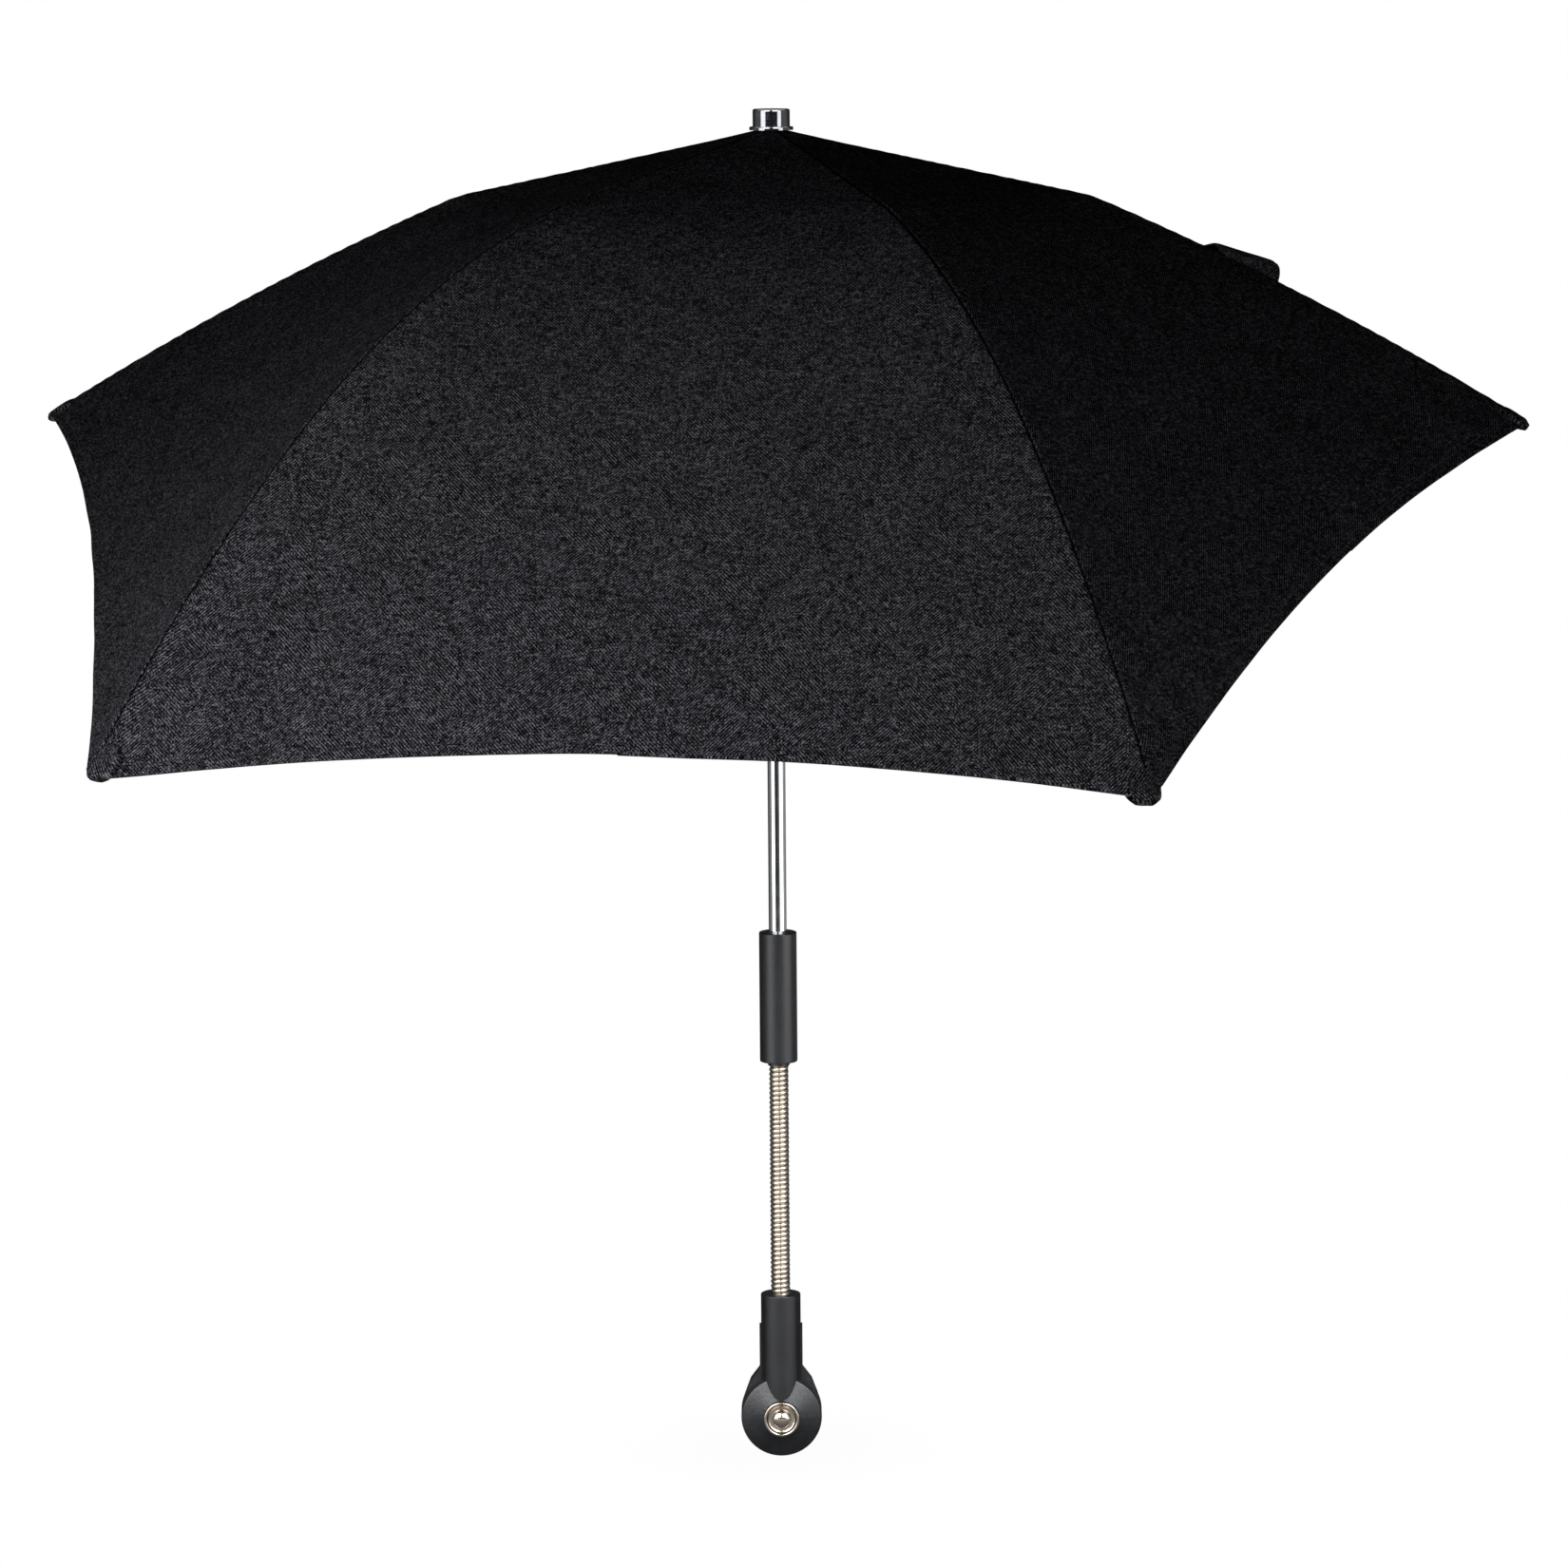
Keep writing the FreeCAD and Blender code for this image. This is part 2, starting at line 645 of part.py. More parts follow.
cap = turned("top_cap", [
    ("stud_radius + press_gap", "0"),
    ("cap_boss_radius", "0"),
    ("cap_boss_radius", "cap_height - cap_wall"),
    ("cap_radius - cap_wall", "cap_height - cap_wall"),
    ("cap_radius - cap_wall", "0"),
    ("cap_radius", "0"),
    ("cap_radius", "cap_height"),
    ("0", "cap_height"),
    ("0", "cap_height - 2 * cap_wall"),
    ("stud_radius + press_gap", "cap_height - 2 * cap_wall"),
])
rounded(cap, "cap_radius", "cap_height", "cap_rounding")
node(stand(cap, y=POLE_Y, z=CROWN_Z + " + " + FLANGE_FOOT + " + flange_thickness"))

# Runner with its slotted ring at the stretchers' ends, and the button in its boss
RUNNER_Z = CROWN_Z + " - " + RUNNER_DROP
slider = turned("RunnerSlider", [
    ("pole_radius + slip", "-barrel_length"),
    ("barrel_radius", "-barrel_length"),
    ("barrel_radius", "-notch_ring_drop"),
    ("notch_ring_radius", "-notch_ring_drop"),
    ("notch_ring_radius", "notch_ring_drop"),
    ("pole_radius + slip", "notch_ring_drop"),
])
rounded(slider, "barrel_radius", "-barrel_length", "edge_rounding")
rounded(slider, "notch_ring_radius", "notch_ring_drop", "edge_rounding")
rounded(slider, "notch_ring_radius", "-notch_ring_drop", "edge_rounding")
notched(slider, "notch_ring_drop", "-notch_ring_drop", pinned=False)
turned_with_canopy(stand(slider, y=POLE_Y, z=RUNNER_Z))
BOSS_Z = RUNNER_Z + " - barrel_length + boss_setback"
boss = stand(bar("RunnerBoss", "boss_radius", "boss_reach"), y=POLE_Y, z=BOSS_Z, turn=FORWARD)
pole_way = stand(bar("RunnerPoleWay", "pole_radius + slip", "2 * barrel_length"),
                 y=POLE_Y, z=RUNNER_Z + " - 1.5 * barrel_length")
button_way = stand(bar("RunnerButtonWay", "button_radius + slip", "boss_reach + button_length"),
                   y=POLE_Y, z=BOSS_Z, turn=FORWARD)
runner_whole = joined("RunnerWhole", [slider, boss])
node(cut("runner", runner_whole, joined("RunnerWays", [pole_way, button_way])))

button = turned("runner_button", [
    ("0", "0"),
    ("button_radius", "0"),
    ("button_radius", "button_length"),
    ("0", "button_length"),
])
rounded(button, "button_radius", "button_length", "edge_rounding")
node(stand(button, y=POLE_Y + " - button_inner_end", z=BOSS_Z, turn=FORWARD))

# Ribs: a straight inner length, a bend at the stretcher's joint, and a bowed outer length
SHARES = {"short": (("short_bend", "rib_bend_length"), ("short_bow", "short_half_length"),
                    ("short_bow", "short_half_length")),
          "long": (("long_bend", "rib_bend_length"), ("long_bow_near", "long_half_length"),
                   ("long_bow_far", "long_half_length"))}
RUNS = {kind: [(value("rib_inner_length"), 0.0)]
        + [(value(length), math.radians(value(turn))) for turn, length in shares]
        for kind, shares in SHARES.items()}


def on_rib(kind, distance, rise=0.0):
    """A point at a distance along a rib from its pin, so far above its axis, and the slope there."""
    slope = math.radians(value("rib_slope"))
    x = 0.0
    z = 0.0
    for number, (length, turn) in enumerate(RUNS[kind]):
        part = distance if number == len(RUNS[kind]) - 1 else min(distance, length)
        if turn == 0.0:
            x += part * math.cos(slope)
            z -= part * math.sin(slope)
        else:
            bend_radius = length / turn
            after = slope + part / bend_radius
            x += bend_radius * (math.sin(after) - math.sin(slope))
            z -= bend_radius * (math.cos(slope) - math.cos(after))
            slope = after
        distance -= part
        if distance <= 0:
            break
    return x + rise * math.sin(slope), z + rise * math.cos(slope), slope


def rib_length(kind):
    return sum(length for length, turn in RUNS[kind])


def rib_rod(kind):
    """The bent rod with its flat eye, in the rib's own plane with the crown pin at the origin."""
    ends = [0.0]
    for length, turn in RUNS[kind]:
        ends.append(ends[-1] + length)
    ends[-1] -= value("tip_setback + tip_length - tip_bore_depth + press_gap")

    def point(distance):
        x, z, slope = on_rib(kind, distance)
        return Vector(x, 0, z)

    curves = [Part.LineSegment(point(0.0), point(ends[1]))]
    for first, last in zip(ends[1:], ends[2:]):
        curves.append(Part.Arc(point(first), point((first + last) / 2), point(last)))
    path = Part.Wire([curve.toShape() for curve in curves])
    way = point(ends[1])
    ring = Part.Wire(Part.makeCircle(value("rib_radius"), Vector(), way))
    rod = path.makePipeShell([ring], True, False)
    thickness = value("eye_thickness")
    across = Vector(0, thickness, 0)
    eye = Part.makeCylinder(value("eye_radius"), thickness, across * -0.5, across)
    hole_length = value("notch_width")
    hole = Part.makeCylinder(value("pin_radius + slip"), hole_length,
                             Vector(0, -hole_length / 2, 0), across)
    return rod.fuse(eye).cut(hole)


rod_masters = {}
for kind in RUNS:
    rod_masters[kind] = doc.addObject("Part::Feature", kind.capitalize() + "RibRod")
    rod_masters[kind].Shape = rib_rod(kind)

# Bracket on the rib with its pin, local X along the rib and local Z away from the stretcher
bracket_block = stand(block("BracketBlock", "bracket_length", "bracket_width",
                            "bracket_rise + bracket_drop"),
                      x="-bracket_length / 2", y="-bracket_width / 2", z="-bracket_drop")
bracket_slot = stand(block("BracketSlot", "bracket_length", "bracket_slot",
                           "bracket_drop - joint_drop + stretcher_radius + seat_gap"),
                     x="-bracket_length / 2", y="-bracket_slot / 2", z="-bracket_drop")
bracket_bore = stand(bar("BracketBore", "rib_radius + press_gap", "bracket_length"),
                     x="-bracket_length / 2", turn=Rotation(Vector(0, 1, 0), 90))
bracket_pin_bore = stand(bar("BracketPinBore", "joint_pin_radius + press_gap", "bracket_width"),
                         y="bracket_width / 2", z="-joint_drop", turn=FORWARD)
bracket_body = cut("BracketBody", bracket_block,
                   joined("BracketTools", [bracket_slot, bracket_bore, bracket_pin_bore]))
bracket_pin = stand(bar("BracketPin", "joint_pin_radius", "bracket_width"),
                    y="bracket_width / 2", z="-joint_drop", turn=FORWARD)
bracket_master = doc.addObject("Part::Compound", "BracketMaster")
bracket_master.Links = [bracket_body, bracket_pin]

# Stretcher, a flat link with an eye at each end, local X from the rib's joint to the runner
link_bar = stand(block("LinkBar", STRETCHER_LENGTH, "eye_thickness", "2 * stretcher_radius"),
                 y="-eye_thickness / 2", z="-stretcher_radius")
link_ends = [stand(bar("LinkEnd", "stretcher_radius", "eye_thickness"),
                   x=place, y="eye_thickness / 2", turn=FORWARD) for place in ("0", STRETCHER_LENGTH)]
link_holes = [stand(bar("LinkHole", radius, "eye_thickness"),
                    x=place, y="eye_thickness / 2", turn=FORWARD)
              for radius, place in (("joint_pin_radius + slip", "0"),
                                    ("pin_radius + slip", STRETCHER_LENGTH))]
link_master = cut("LinkMaster", joined("LinkWhole", [link_bar] + link_ends),
                  joined("LinkHoles", link_holes))

# End cap of a rib, local Z out along the rib
tip_master = turned("TipMaster", [
    ("rib_radius + press_gap", "0"),
    ("tip_radius", "0"),
    ("tip_radius", "tip_length"),
    ("0", "tip_length"),
    ("0", "tip_bore_depth"),
    ("rib_radius + press_gap", "tip_bore_depth"),
])
rounded(tip_master, "tip_radius", "tip_length", "tip_rounding")
doc.recompute()


def copied(label, master, place):
    piece = doc.addObject("Part::Feature", label)
    piece.Shape = master.Shape.copy()
    piece.Placement = place
    return node(piece)


joint_x, joint_z, slope = on_rib("short", value("joint_distance"))
pin_x, pin_z, slope = on_rib("short", value("joint_distance"), -value("joint_drop"))
link_slope = 180 - math.degrees(math.atan2(-pin_z, pin_x))
for index, (name, kind) in enumerate(RIBS):
    azimuth = RIB_STEP * index
    copied("rib_" + name, rod_masters[kind], at_rib(azimuth))
    copied("rib_joint_" + name, bracket_master,
           at_rib(azimuth, joint_x, joint_z, value("rib_slope")))
    copied("stretcher_" + name, link_master, at_rib(azimuth, pin_x, pin_z, link_slope))
    tip_x, tip_z, tip_slope = on_rib(kind, rib_length(kind) - value("tip_setback + tip_length"))
    copied("rib_tip_" + name, tip_master,
           at_rib(azimuth, tip_x, tip_z, 90 + math.degrees(tip_slope)))


# Cloth: six panels drawn straight from rib to rib, each in two halves that meet midway.
# A station is 0 at the crown, 1 to 4 at the ends of the rib's runs.
def seam(index, station):
    """A point of the cloth's top over a rib."""
    name, kind = RIBS[index % len(RIBS)]
    rise = value("cloth_rise")
    slope = math.radians(value("rib_slope"))
    start = (value("cloth_inner_radius - pin_circle") - rise * math.sin(slope)) / math.cos(slope)
    ends = [start]
    reached = 0.0
    for length, turn in RUNS[kind]:
        reached += length
        ends.append(reached)
    run = min(int(station), len(RUNS[kind]) - 1)
    distance = ends[run] + (station - run) * (ends[run + 1] - ends[run])
    x, z, slope = on_rib(kind, distance, rise)
    return at_rib(RIB_STEP * index, x, z).Base


def cloth_point(index, neighbour, share, station):
    """A point of the panel's top, a share of the way from a rib's seam to the panel's middle."""
    axis = about_pole(0).Base
    near = seam(index, station)
    far = seam(neighbour, station)
    near_reach = math.hypot(near.x - axis.x, near.y - axis.y)
    far_reach = math.hypot(far.x - axis.x, far.y - axis.y)
    across = share * near_reach / (near_reach + far_reach)
    return near + (far - near) * across, across


def hem_station(index, neighbour, share):
    """Where the arched hem ends the cloth on this line of the panel."""
    last = len(RUNS["short"])
    point, across = cloth_point(index, neighbour, share, last)
    near_run = RUNS[RIBS[index % len(RIBS)][1]][-1][0]
    far_run = RUNS[RIBS[neighbour % len(RIBS)][1]][-1][0]
    run = near_run + (far_run - near_run) * across
    return last - value("hem_arch") * 4 * across * (1 - across) / run


def cloth_strip(index, neighbour, share):
    """One closed outline across the cloth's thickness, from the crown to the hem."""
    hem = hem_station(index, neighbour, share)
    down = Vector(0, 0, -value("cloth_thickness"))

    def at(station):
        return cloth_point(index, neighbour, share, station)[0]

    arcs = [(1, 1.5, 2), (2, 2.5, 3), (3, (3 + hem) / 2, hem)]
    curves = [Part.LineSegment(at(0), at(1))]
    curves += [Part.Arc(*[at(station) for station in arc]) for arc in arcs]
    curves.append(Part.LineSegment(at(hem), at(hem) + down))
    curves += [Part.Arc(*[at(station) + down for station in reversed(arc)])
               for arc in reversed(arcs)]
    curves.append(Part.LineSegment(at(1) + down, at(0) + down))
    curves.append(Part.LineSegment(at(0) + down, at(0)))
    return Part.Wire([curve.toShape() for curve in curves])


STRIPS = 4
SIDES = {"right": ("front", "back"), "back_right": ("side", "back"), "back_left": ("back", "side"),
         "left": ("back", "front"), "front_left": ("side", "front"),
         "front_right": ("front", "side")}
for index, (name, kind) in enumerate(RIBS):
    for side, neighbour in zip(SIDES[name], (index - 1, index + 1)):
        strips = [cloth_strip(index, neighbour, step / STRIPS) for step in range(STRIPS + 1)]
        half = doc.addObject("Part::Feature", "cloth_%s_%s" % (name, side))
        half.Shape = Part.makeLoft(strips, True, True)
        node(half)


# Closing strap, sewn beside the right rib's seam and lying along the panel behind it
STRAP_RUN = 2


def strap_outline(share, lift):
    """The strap's section at one line of the panel, its outer edge lifted where it is folded."""
    first = value("strap_start")
    start = value("rib_inner_length + rib_bend_length")
    run = value("short_half_length")
    low = STRAP_RUN + (first - start) / run
    high = STRAP_RUN + (first + value("strap_width") - start) / run
    inner = cloth_point(0, 1, share, low)[0] + Vector(0, 0, value("seat_gap"))
    outer = cloth_point(0, 1, share, high)[0] + Vector(0, 0, value("seat_gap"))
    thick = value("strap_thickness")
    corners = [inner, outer, outer + Vector(0, 0, thick + lift), inner + Vector(0, 0, thick)]
    return Part.makePolygon(corners + corners[:1])


strap_root = value("strap_root")
strap_end = value("strap_end")
strap_lift = value("strap_lift")
strap = doc.addObject("Part::Feature", "closing_strap")
strap.Shape = Part.makeLoft([
    strap_outline(strap_root, strap_lift),
    strap_outline(strap_root + (strap_end - strap_root) / 3, strap_lift / 3),
    strap_outline(strap_end, 0.0)], True, True)
node(strap)

# Every object has to be sound before anything is written
doc.recompute()
for item in doc.Objects:
    if "Invalid" in item.State or "Error" in item.State:
        raise ValueError("%s is not sound: %s" % (item.Label, item.State))
for piece in nodes:
    if piece.Shape.isNull() or not piece.Shape.isValid() or not piece.Shape.Solids:
        raise ValueError(piece.Label + " has no sound solid")
os.makedirs("parts", exist_ok=True)
for piece in nodes:
    piece.Shape.exportStep(os.path.join("parts", piece.Label + ".step"))
print("%d pieces written" % len(nodes))
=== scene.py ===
import math

import bmesh
import bpy
import numpy as np
from mathutils import Matrix, Vector, noise


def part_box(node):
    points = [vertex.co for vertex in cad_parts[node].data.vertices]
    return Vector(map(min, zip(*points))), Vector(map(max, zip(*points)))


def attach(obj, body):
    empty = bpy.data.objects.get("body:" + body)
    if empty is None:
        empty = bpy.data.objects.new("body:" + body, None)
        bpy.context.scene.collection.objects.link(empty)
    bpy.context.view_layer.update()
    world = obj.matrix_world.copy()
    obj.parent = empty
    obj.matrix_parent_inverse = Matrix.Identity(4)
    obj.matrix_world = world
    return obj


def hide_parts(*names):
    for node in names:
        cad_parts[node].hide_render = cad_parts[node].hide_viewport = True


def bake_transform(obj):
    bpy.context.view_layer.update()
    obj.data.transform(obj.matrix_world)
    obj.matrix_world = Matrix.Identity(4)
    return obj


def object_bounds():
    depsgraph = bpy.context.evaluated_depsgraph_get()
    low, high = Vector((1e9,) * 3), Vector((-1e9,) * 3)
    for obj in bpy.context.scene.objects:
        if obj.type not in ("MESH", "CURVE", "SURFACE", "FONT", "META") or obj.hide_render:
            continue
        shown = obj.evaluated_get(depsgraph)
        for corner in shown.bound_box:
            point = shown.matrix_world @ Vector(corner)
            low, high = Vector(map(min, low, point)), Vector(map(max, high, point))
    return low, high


# A pram parasol on its swivel foot: a wound gooseneck arm, a chrome pole and a folding canopy
# of black melange cloth. Everything is in metres, in the frame of the parasol's own solids.
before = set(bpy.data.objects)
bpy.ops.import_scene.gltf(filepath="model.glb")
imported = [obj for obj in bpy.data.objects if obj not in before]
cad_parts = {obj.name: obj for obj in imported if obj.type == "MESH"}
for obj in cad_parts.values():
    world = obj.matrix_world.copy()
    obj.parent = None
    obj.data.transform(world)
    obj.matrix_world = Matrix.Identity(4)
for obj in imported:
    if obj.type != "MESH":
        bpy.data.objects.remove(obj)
cad_low, cad_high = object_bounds()


# Swivel head, its back moulding and the coupling sleeve
# Charcoal glass-filled nylon, moulded with a fine spark-eroded grain. The two halves of the head
# are riveted together, and the sleeve is pressed over the arm's top cup and the pole's foot.
class Wire:
    """One output of a finish's nodes. Sums on it add Math nodes, and node() adds any other."""

    def __init__(self, socket):
        self.socket = socket

    def sum(self, operation, first, second):
        return self.node("Math", {"operation": operation}, {0: first, 1: second})

    def __add__(self, other):
        return self.sum("ADD", self, other)

    def __radd__(self, other):
        return self.sum("ADD", other, self)

    def __sub__(self, other):
        return self.sum("SUBTRACT", self, other)

    def __rsub__(self, other):
        return self.sum("SUBTRACT", other, self)

    def __mul__(self, other):
        return self.sum("MULTIPLY", self, other)

    def __rmul__(self, other):
        return self.sum("MULTIPLY", other, self)

    def node(self, kind, settings, values, output=0):
        """A node of any kind: its settings come first, then its sockets' values or links."""
        tree = self.socket.id_data
        made = tree.nodes.new("ShaderNode" + kind)
        for name, setting in settings.items():
            setattr(made, name, setting)
        for name, given in values.items():
            if isinstance(given, Wire):
                tree.links.new(given.socket, made.inputs[name])
            else:
                made.inputs[name].default_value = given
        return Wire(made.outputs[output]) if made.outputs else None

    def speckle(self, scale, detail=2.0, rough=0.5, stretch=(1.0, 1.0, 1.0)):
        """Soft noise from 0 to 1 on this wire's coordinates, drawn out along an axis if asked."""
        drawn = self
        if stretch != (1.0, 1.0, 1.0):
            drawn = self.node("Mapping", {}, {"Vector": self, "Scale": stretch})
        return self.node("TexNoise", {}, {"Vector": drawn, "Scale": scale, "Detail": detail,
                                          "Roughness": rough})

    def between(self, low, high):
        """This value stretched so that low becomes 0 and high becomes 1, and held there."""
        return self.node("MapRange", {}, {"Value": self, "From Min": low, "From Max": high})

    def blend(self, one, two):
        """A colour that goes from one to two as this value goes from 0 to 1."""
        return self.node("Mix", {"data_type": "RGBA"}, {0: self, 6: one, 7: two}, output=2)


def new_finish(name, source="Object"):
    """An empty material, and the wire of the coordinates that its patterns are drawn on."""
    material = bpy.data.materials.new(name)
    material.use_nodes = True
    material.node_tree.nodes.clear()
    return material, Wire(material.node_tree.nodes.new("ShaderNodeTexCoord").outputs[source])


def coat(place, height, depth, strength, shader):
    """Ends a finish: its shader's values, with a fine relief of the given depth."""
    relief = place.node("Bump", {}, {"Height": height, "Distance": depth, "Strength": strength})
    surface = place.node("BsdfPrincipled", {}, dict(shader, Normal=relief))
    place.node("OutputMaterial", {}, {"Surface": surface})


def tone(code):
    """A colour from its six-figure screen code."""
    parts = [int(code[at:at + 2], 16) / 255 for at in (0, 2, 4)]
    line = [part / 12.92 if part <= 0.04045 else ((part + 0.055) / 1.055) ** 2.4 for part in parts]
    return (*line, 1.0)


def moulded(name, dark, light, roughness):
    """Matt moulded plastic: a fine grain, faint flow clouds and a few rubbed spots."""
    material, place = new_finish(name)
    grain = place.speckle(3200.0, 2.0, 0.6)
    pebble = place.speckle(950.0, 2.0, 0.5)
    cloud = place.speckle(70.0, 4.0, 0.55)
    rubbed = place.speckle(420.0, 6.0, 0.7).between(0.58, 0.78)
    mixed = (cloud * 0.5 + pebble * 0.3 + grain * 0.2).between(0.34, 0.66)
    shade = mixed.blend(tone(dark), tone(light))
    rough = (cloud - 0.5) * 0.16 + (pebble - 0.5) * 0.2 + roughness - rubbed * 0.08
    coat(place, grain + pebble * 1.5 + rubbed * -0.25, 0.00008, 0.45,
         {"Base Color": shade, "Roughness": rough, "Specular IOR Level": 0.5})
    return material


def dress(material, *names):
    """Gives solids of the frame their finish."""
    for name in names:
        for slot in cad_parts[name].material_slots:
            slot.material = material


charcoal = moulded("charcoal_nylon", "16171a", "202226", 0.35)
dress(charcoal, "swivel_head", "coupling_sleeve")
dress(moulded("black_nylon", "111214", "191a1d", 0.42), "swivel_back", "mount_plug")

# Friction washer
# A ring of pale acetal between the fixed plate and the turning head, cut from sheet.
dress(moulded("acetal", "8f8d86", "a5a39b", 0.4), "friction_washer")


# Cup washer and rivet
# Nickel plate on steel: the washer is dished by a press and its rim is rolled over, and the rivet
# has a domed head. Its shank goes through both mouldings into the plug, where it is fast.
def plated(name, dark, light, roughness, stretch):
    """Plated metal with fine lines along one way and a few dull patches."""
    material, place = new_finish(name)
    lines = place.speckle(2400.0, 3.0, 0.6, stretch)
    patch = place.speckle(160.0, 5.0, 0.6)
    shade = (patch * 0.6 + lines * 0.4).between(0.32, 0.7).blend(tone(dark), tone(light))
    rough = (lines - 0.5) * 0.12 + (patch - 0.5) * 0.14 + roughness
    coat(place, lines, 0.00002, 0.3,
         {"Base Color": shade, "Roughness": rough, "Metallic": 1.0})
    return material


def made(name, bm, material):
    """A finished smooth piece from a bmesh, at the origin with its place in its mesh."""
    mesh = bpy.data.meshes.new(name)
    for face in bm.faces:
        face.smooth = True
    bm.to_mesh(mesh)
    bm.free()
    mesh.materials.append(material)
    piece = bpy.data.objects.new(name, mesh)
    bpy.context.scene.collection.objects.link(piece)
    return piece


def bow(middle, wide, deep, start, end, steps):
    """Points of a turned outline along part of an oval, from one angle to another in degrees."""
    angles = np.radians(np.linspace(start, end, steps + 1))
    return [(middle[0] + wide * math.cos(angle), middle[1] + deep * math.sin(angle))
            for angle in angles]


def turned_on_foot(name, outline, material):
    """A piece turned about the foot's axis, from (radius, distance towards the viewer) points."""
    bm = bmesh.new()
    verts = [bm.verts.new((radius, -ahead, 0.0)) for radius, ahead in outline]
    edges = [bm.edges.new(pair) for pair in zip(verts, verts[1:])]
    bmesh.ops.spin(bm, geom=verts + edges, axis=(0, 1, 0), angle=2 * math.pi, steps=96,
                   use_merge=True)
    bmesh.ops.remove_doubles(bm, verts=bm.verts, dist=1e-6)
    bmesh.ops.recalc_face_normals(bm, faces=bm.faces)
    bm.normal_update()
    for edge in bm.edges:
        edge.smooth = edge.calc_face_angle(0.0) < math.radians(40)
    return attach(made(name, bm, material), "foot")


cup_back, cup_front = (-corner.y for corner in reversed(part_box("cup_washer")))
rivet_end, rivet_front = (-corner.y for corner in reversed(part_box("pivot_rivet")))
CUP_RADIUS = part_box("cup_washer")[1].x
CUP_SHEET = 0.0008
CUP_BORE = 0.00256
CUP_FLOOR = 0.0052
RIM_WIDE = 0.00075
RIM_DEEP = 0.00062
RIVET_RADIUS = 0.0025
RIVET_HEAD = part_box("pivot_rivet")[1].x
RIVET_CHAMFER = 0.0004
HEAD_SEAT = cup_back + CUP_SHEET
HEAD_SWELL = HEAD_SEAT + 0.0006
nickel = plated("nickel_plate", "a39a8e", "c6bdb1", 0.2, (1.0, 0.05, 1.0))

rim = (CUP_RADIUS - RIM_WIDE, cup_front - RIM_DEEP)
cup_wall = rim[0] - RIM_WIDE - CUP_FLOOR
cup_outline = [(CUP_BORE, cup_back), (CUP_BORE, HEAD_SEAT)]
cup_outline += bow((CUP_FLOOR, rim[1]), cup_wall, rim[1] - HEAD_SEAT, -90, 0, 10)
cup_outline += bow(rim, RIM_WIDE, RIM_DEEP, 180, -60, 16)
cup_outline += [(CUP_FLOOR + CUP_SHEET, cup_back), (CUP_BORE, cup_back)]
cup_washer = turned_on_foot("dished_washer", cup_outline, nickel)
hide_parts("cup_washer")

rivet_outline = [(0.0, rivet_end), (RIVET_RADIUS - RIVET_CHAMFER, rivet_end),
                 (RIVET_RADIUS, rivet_end + RIVET_CHAMFER), (RIVET_RADIUS, HEAD_SEAT)]
rivet_outline += bow((0.0, HEAD_SWELL), RIVET_HEAD, HEAD_SWELL - HEAD_SEAT, -60, 0, 4)
rivet_outline += bow((0.0, HEAD_SWELL), RIVET_HEAD, rivet_front - HEAD_SWELL, 4, 90, 18)
rivet = turned_on_foot("domed_rivet", rivet_outline, nickel)
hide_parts("pivot_rivet")

# End cups of the gooseneck
# The lower one is turned steel pressed into the socket, and the upper one is a charcoal moulding
# that shows as a short neck under the sleeve.
dress(plated("cup_steel", "7d7870", "9b958b", 0.3, (0.05, 0.05, 1.0)), "gooseneck_ferrule_low")
dress(charcoal, "gooseneck_ferrule_top")

# Gooseneck arm
# One hard-drawn nickelled wire, rolled oval and wound close on a mandrel, with a dull filler wire
# laid in its groove, so that it holds any bend. Its ends stand in the two cups.
pole_low, pole_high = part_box("pole_tube")
POLE_Y = (pole_low.y + pole_high.y) / 2
WIRE_DEEP = 0.0009
WIRE_TALL = 0.00112
WINDING_RADIUS = 0.00375
FILLER_RADIUS = 0.00345
FILLER_SIDE = 0.00055
WINDING_PITCH = 0.00229
ARM_FOOT = 0.0593
ARM_TOP = 0.1703
ARM_MIDDLE = (ARM_FOOT + ARM_TOP) / 2
ARM_SEATED = 0.0045
TURN_STEPS = 26


def wound(name, foot, top, radius, deep, tall, sides, behind, material):
    """A wire wound from foot to top about the pole's axis, its turns lagging by part of a turn."""
    bm = bmesh.new()
    turns = (top - foot) / WINDING_PITCH
    lean = math.atan2(WINDING_PITCH, 2 * math.pi * radius)
    start = 2 * math.pi * ((foot - ARM_FOOT) / WINDING_PITCH - behind)
    ring = bmesh.ops.create_circle(bm, segments=sides, radius=1.0, cap_ends=True)["verts"]
    bmesh.ops.scale(bm, verts=ring, vec=(deep, tall, 1.0))
    bmesh.ops.rotate(bm, verts=ring, matrix=Matrix.Rotation(math.pi / 2 + lean, 3, "X"))
    bmesh.ops.translate(bm, verts=ring, vec=(radius, 0, foot))
    bmesh.ops.rotate(bm, verts=ring, matrix=Matrix.Rotation(start, 3, "Z"))
    steps = round(turns * TURN_STEPS)
    bmesh.ops.spin(bm, geom=bm.verts[:] + bm.edges[:] + bm.faces[:], axis=(0, 0, 1),
                   dvec=(0, 0, (top - foot) / steps), angle=turns * 2 * math.pi, steps=steps)
    bmesh.ops.translate(bm, verts=bm.verts, vec=(0, POLE_Y, 0))
    bmesh.ops.recalc_face_normals(bm, faces=bm.faces)
    return made(name, bm, material)


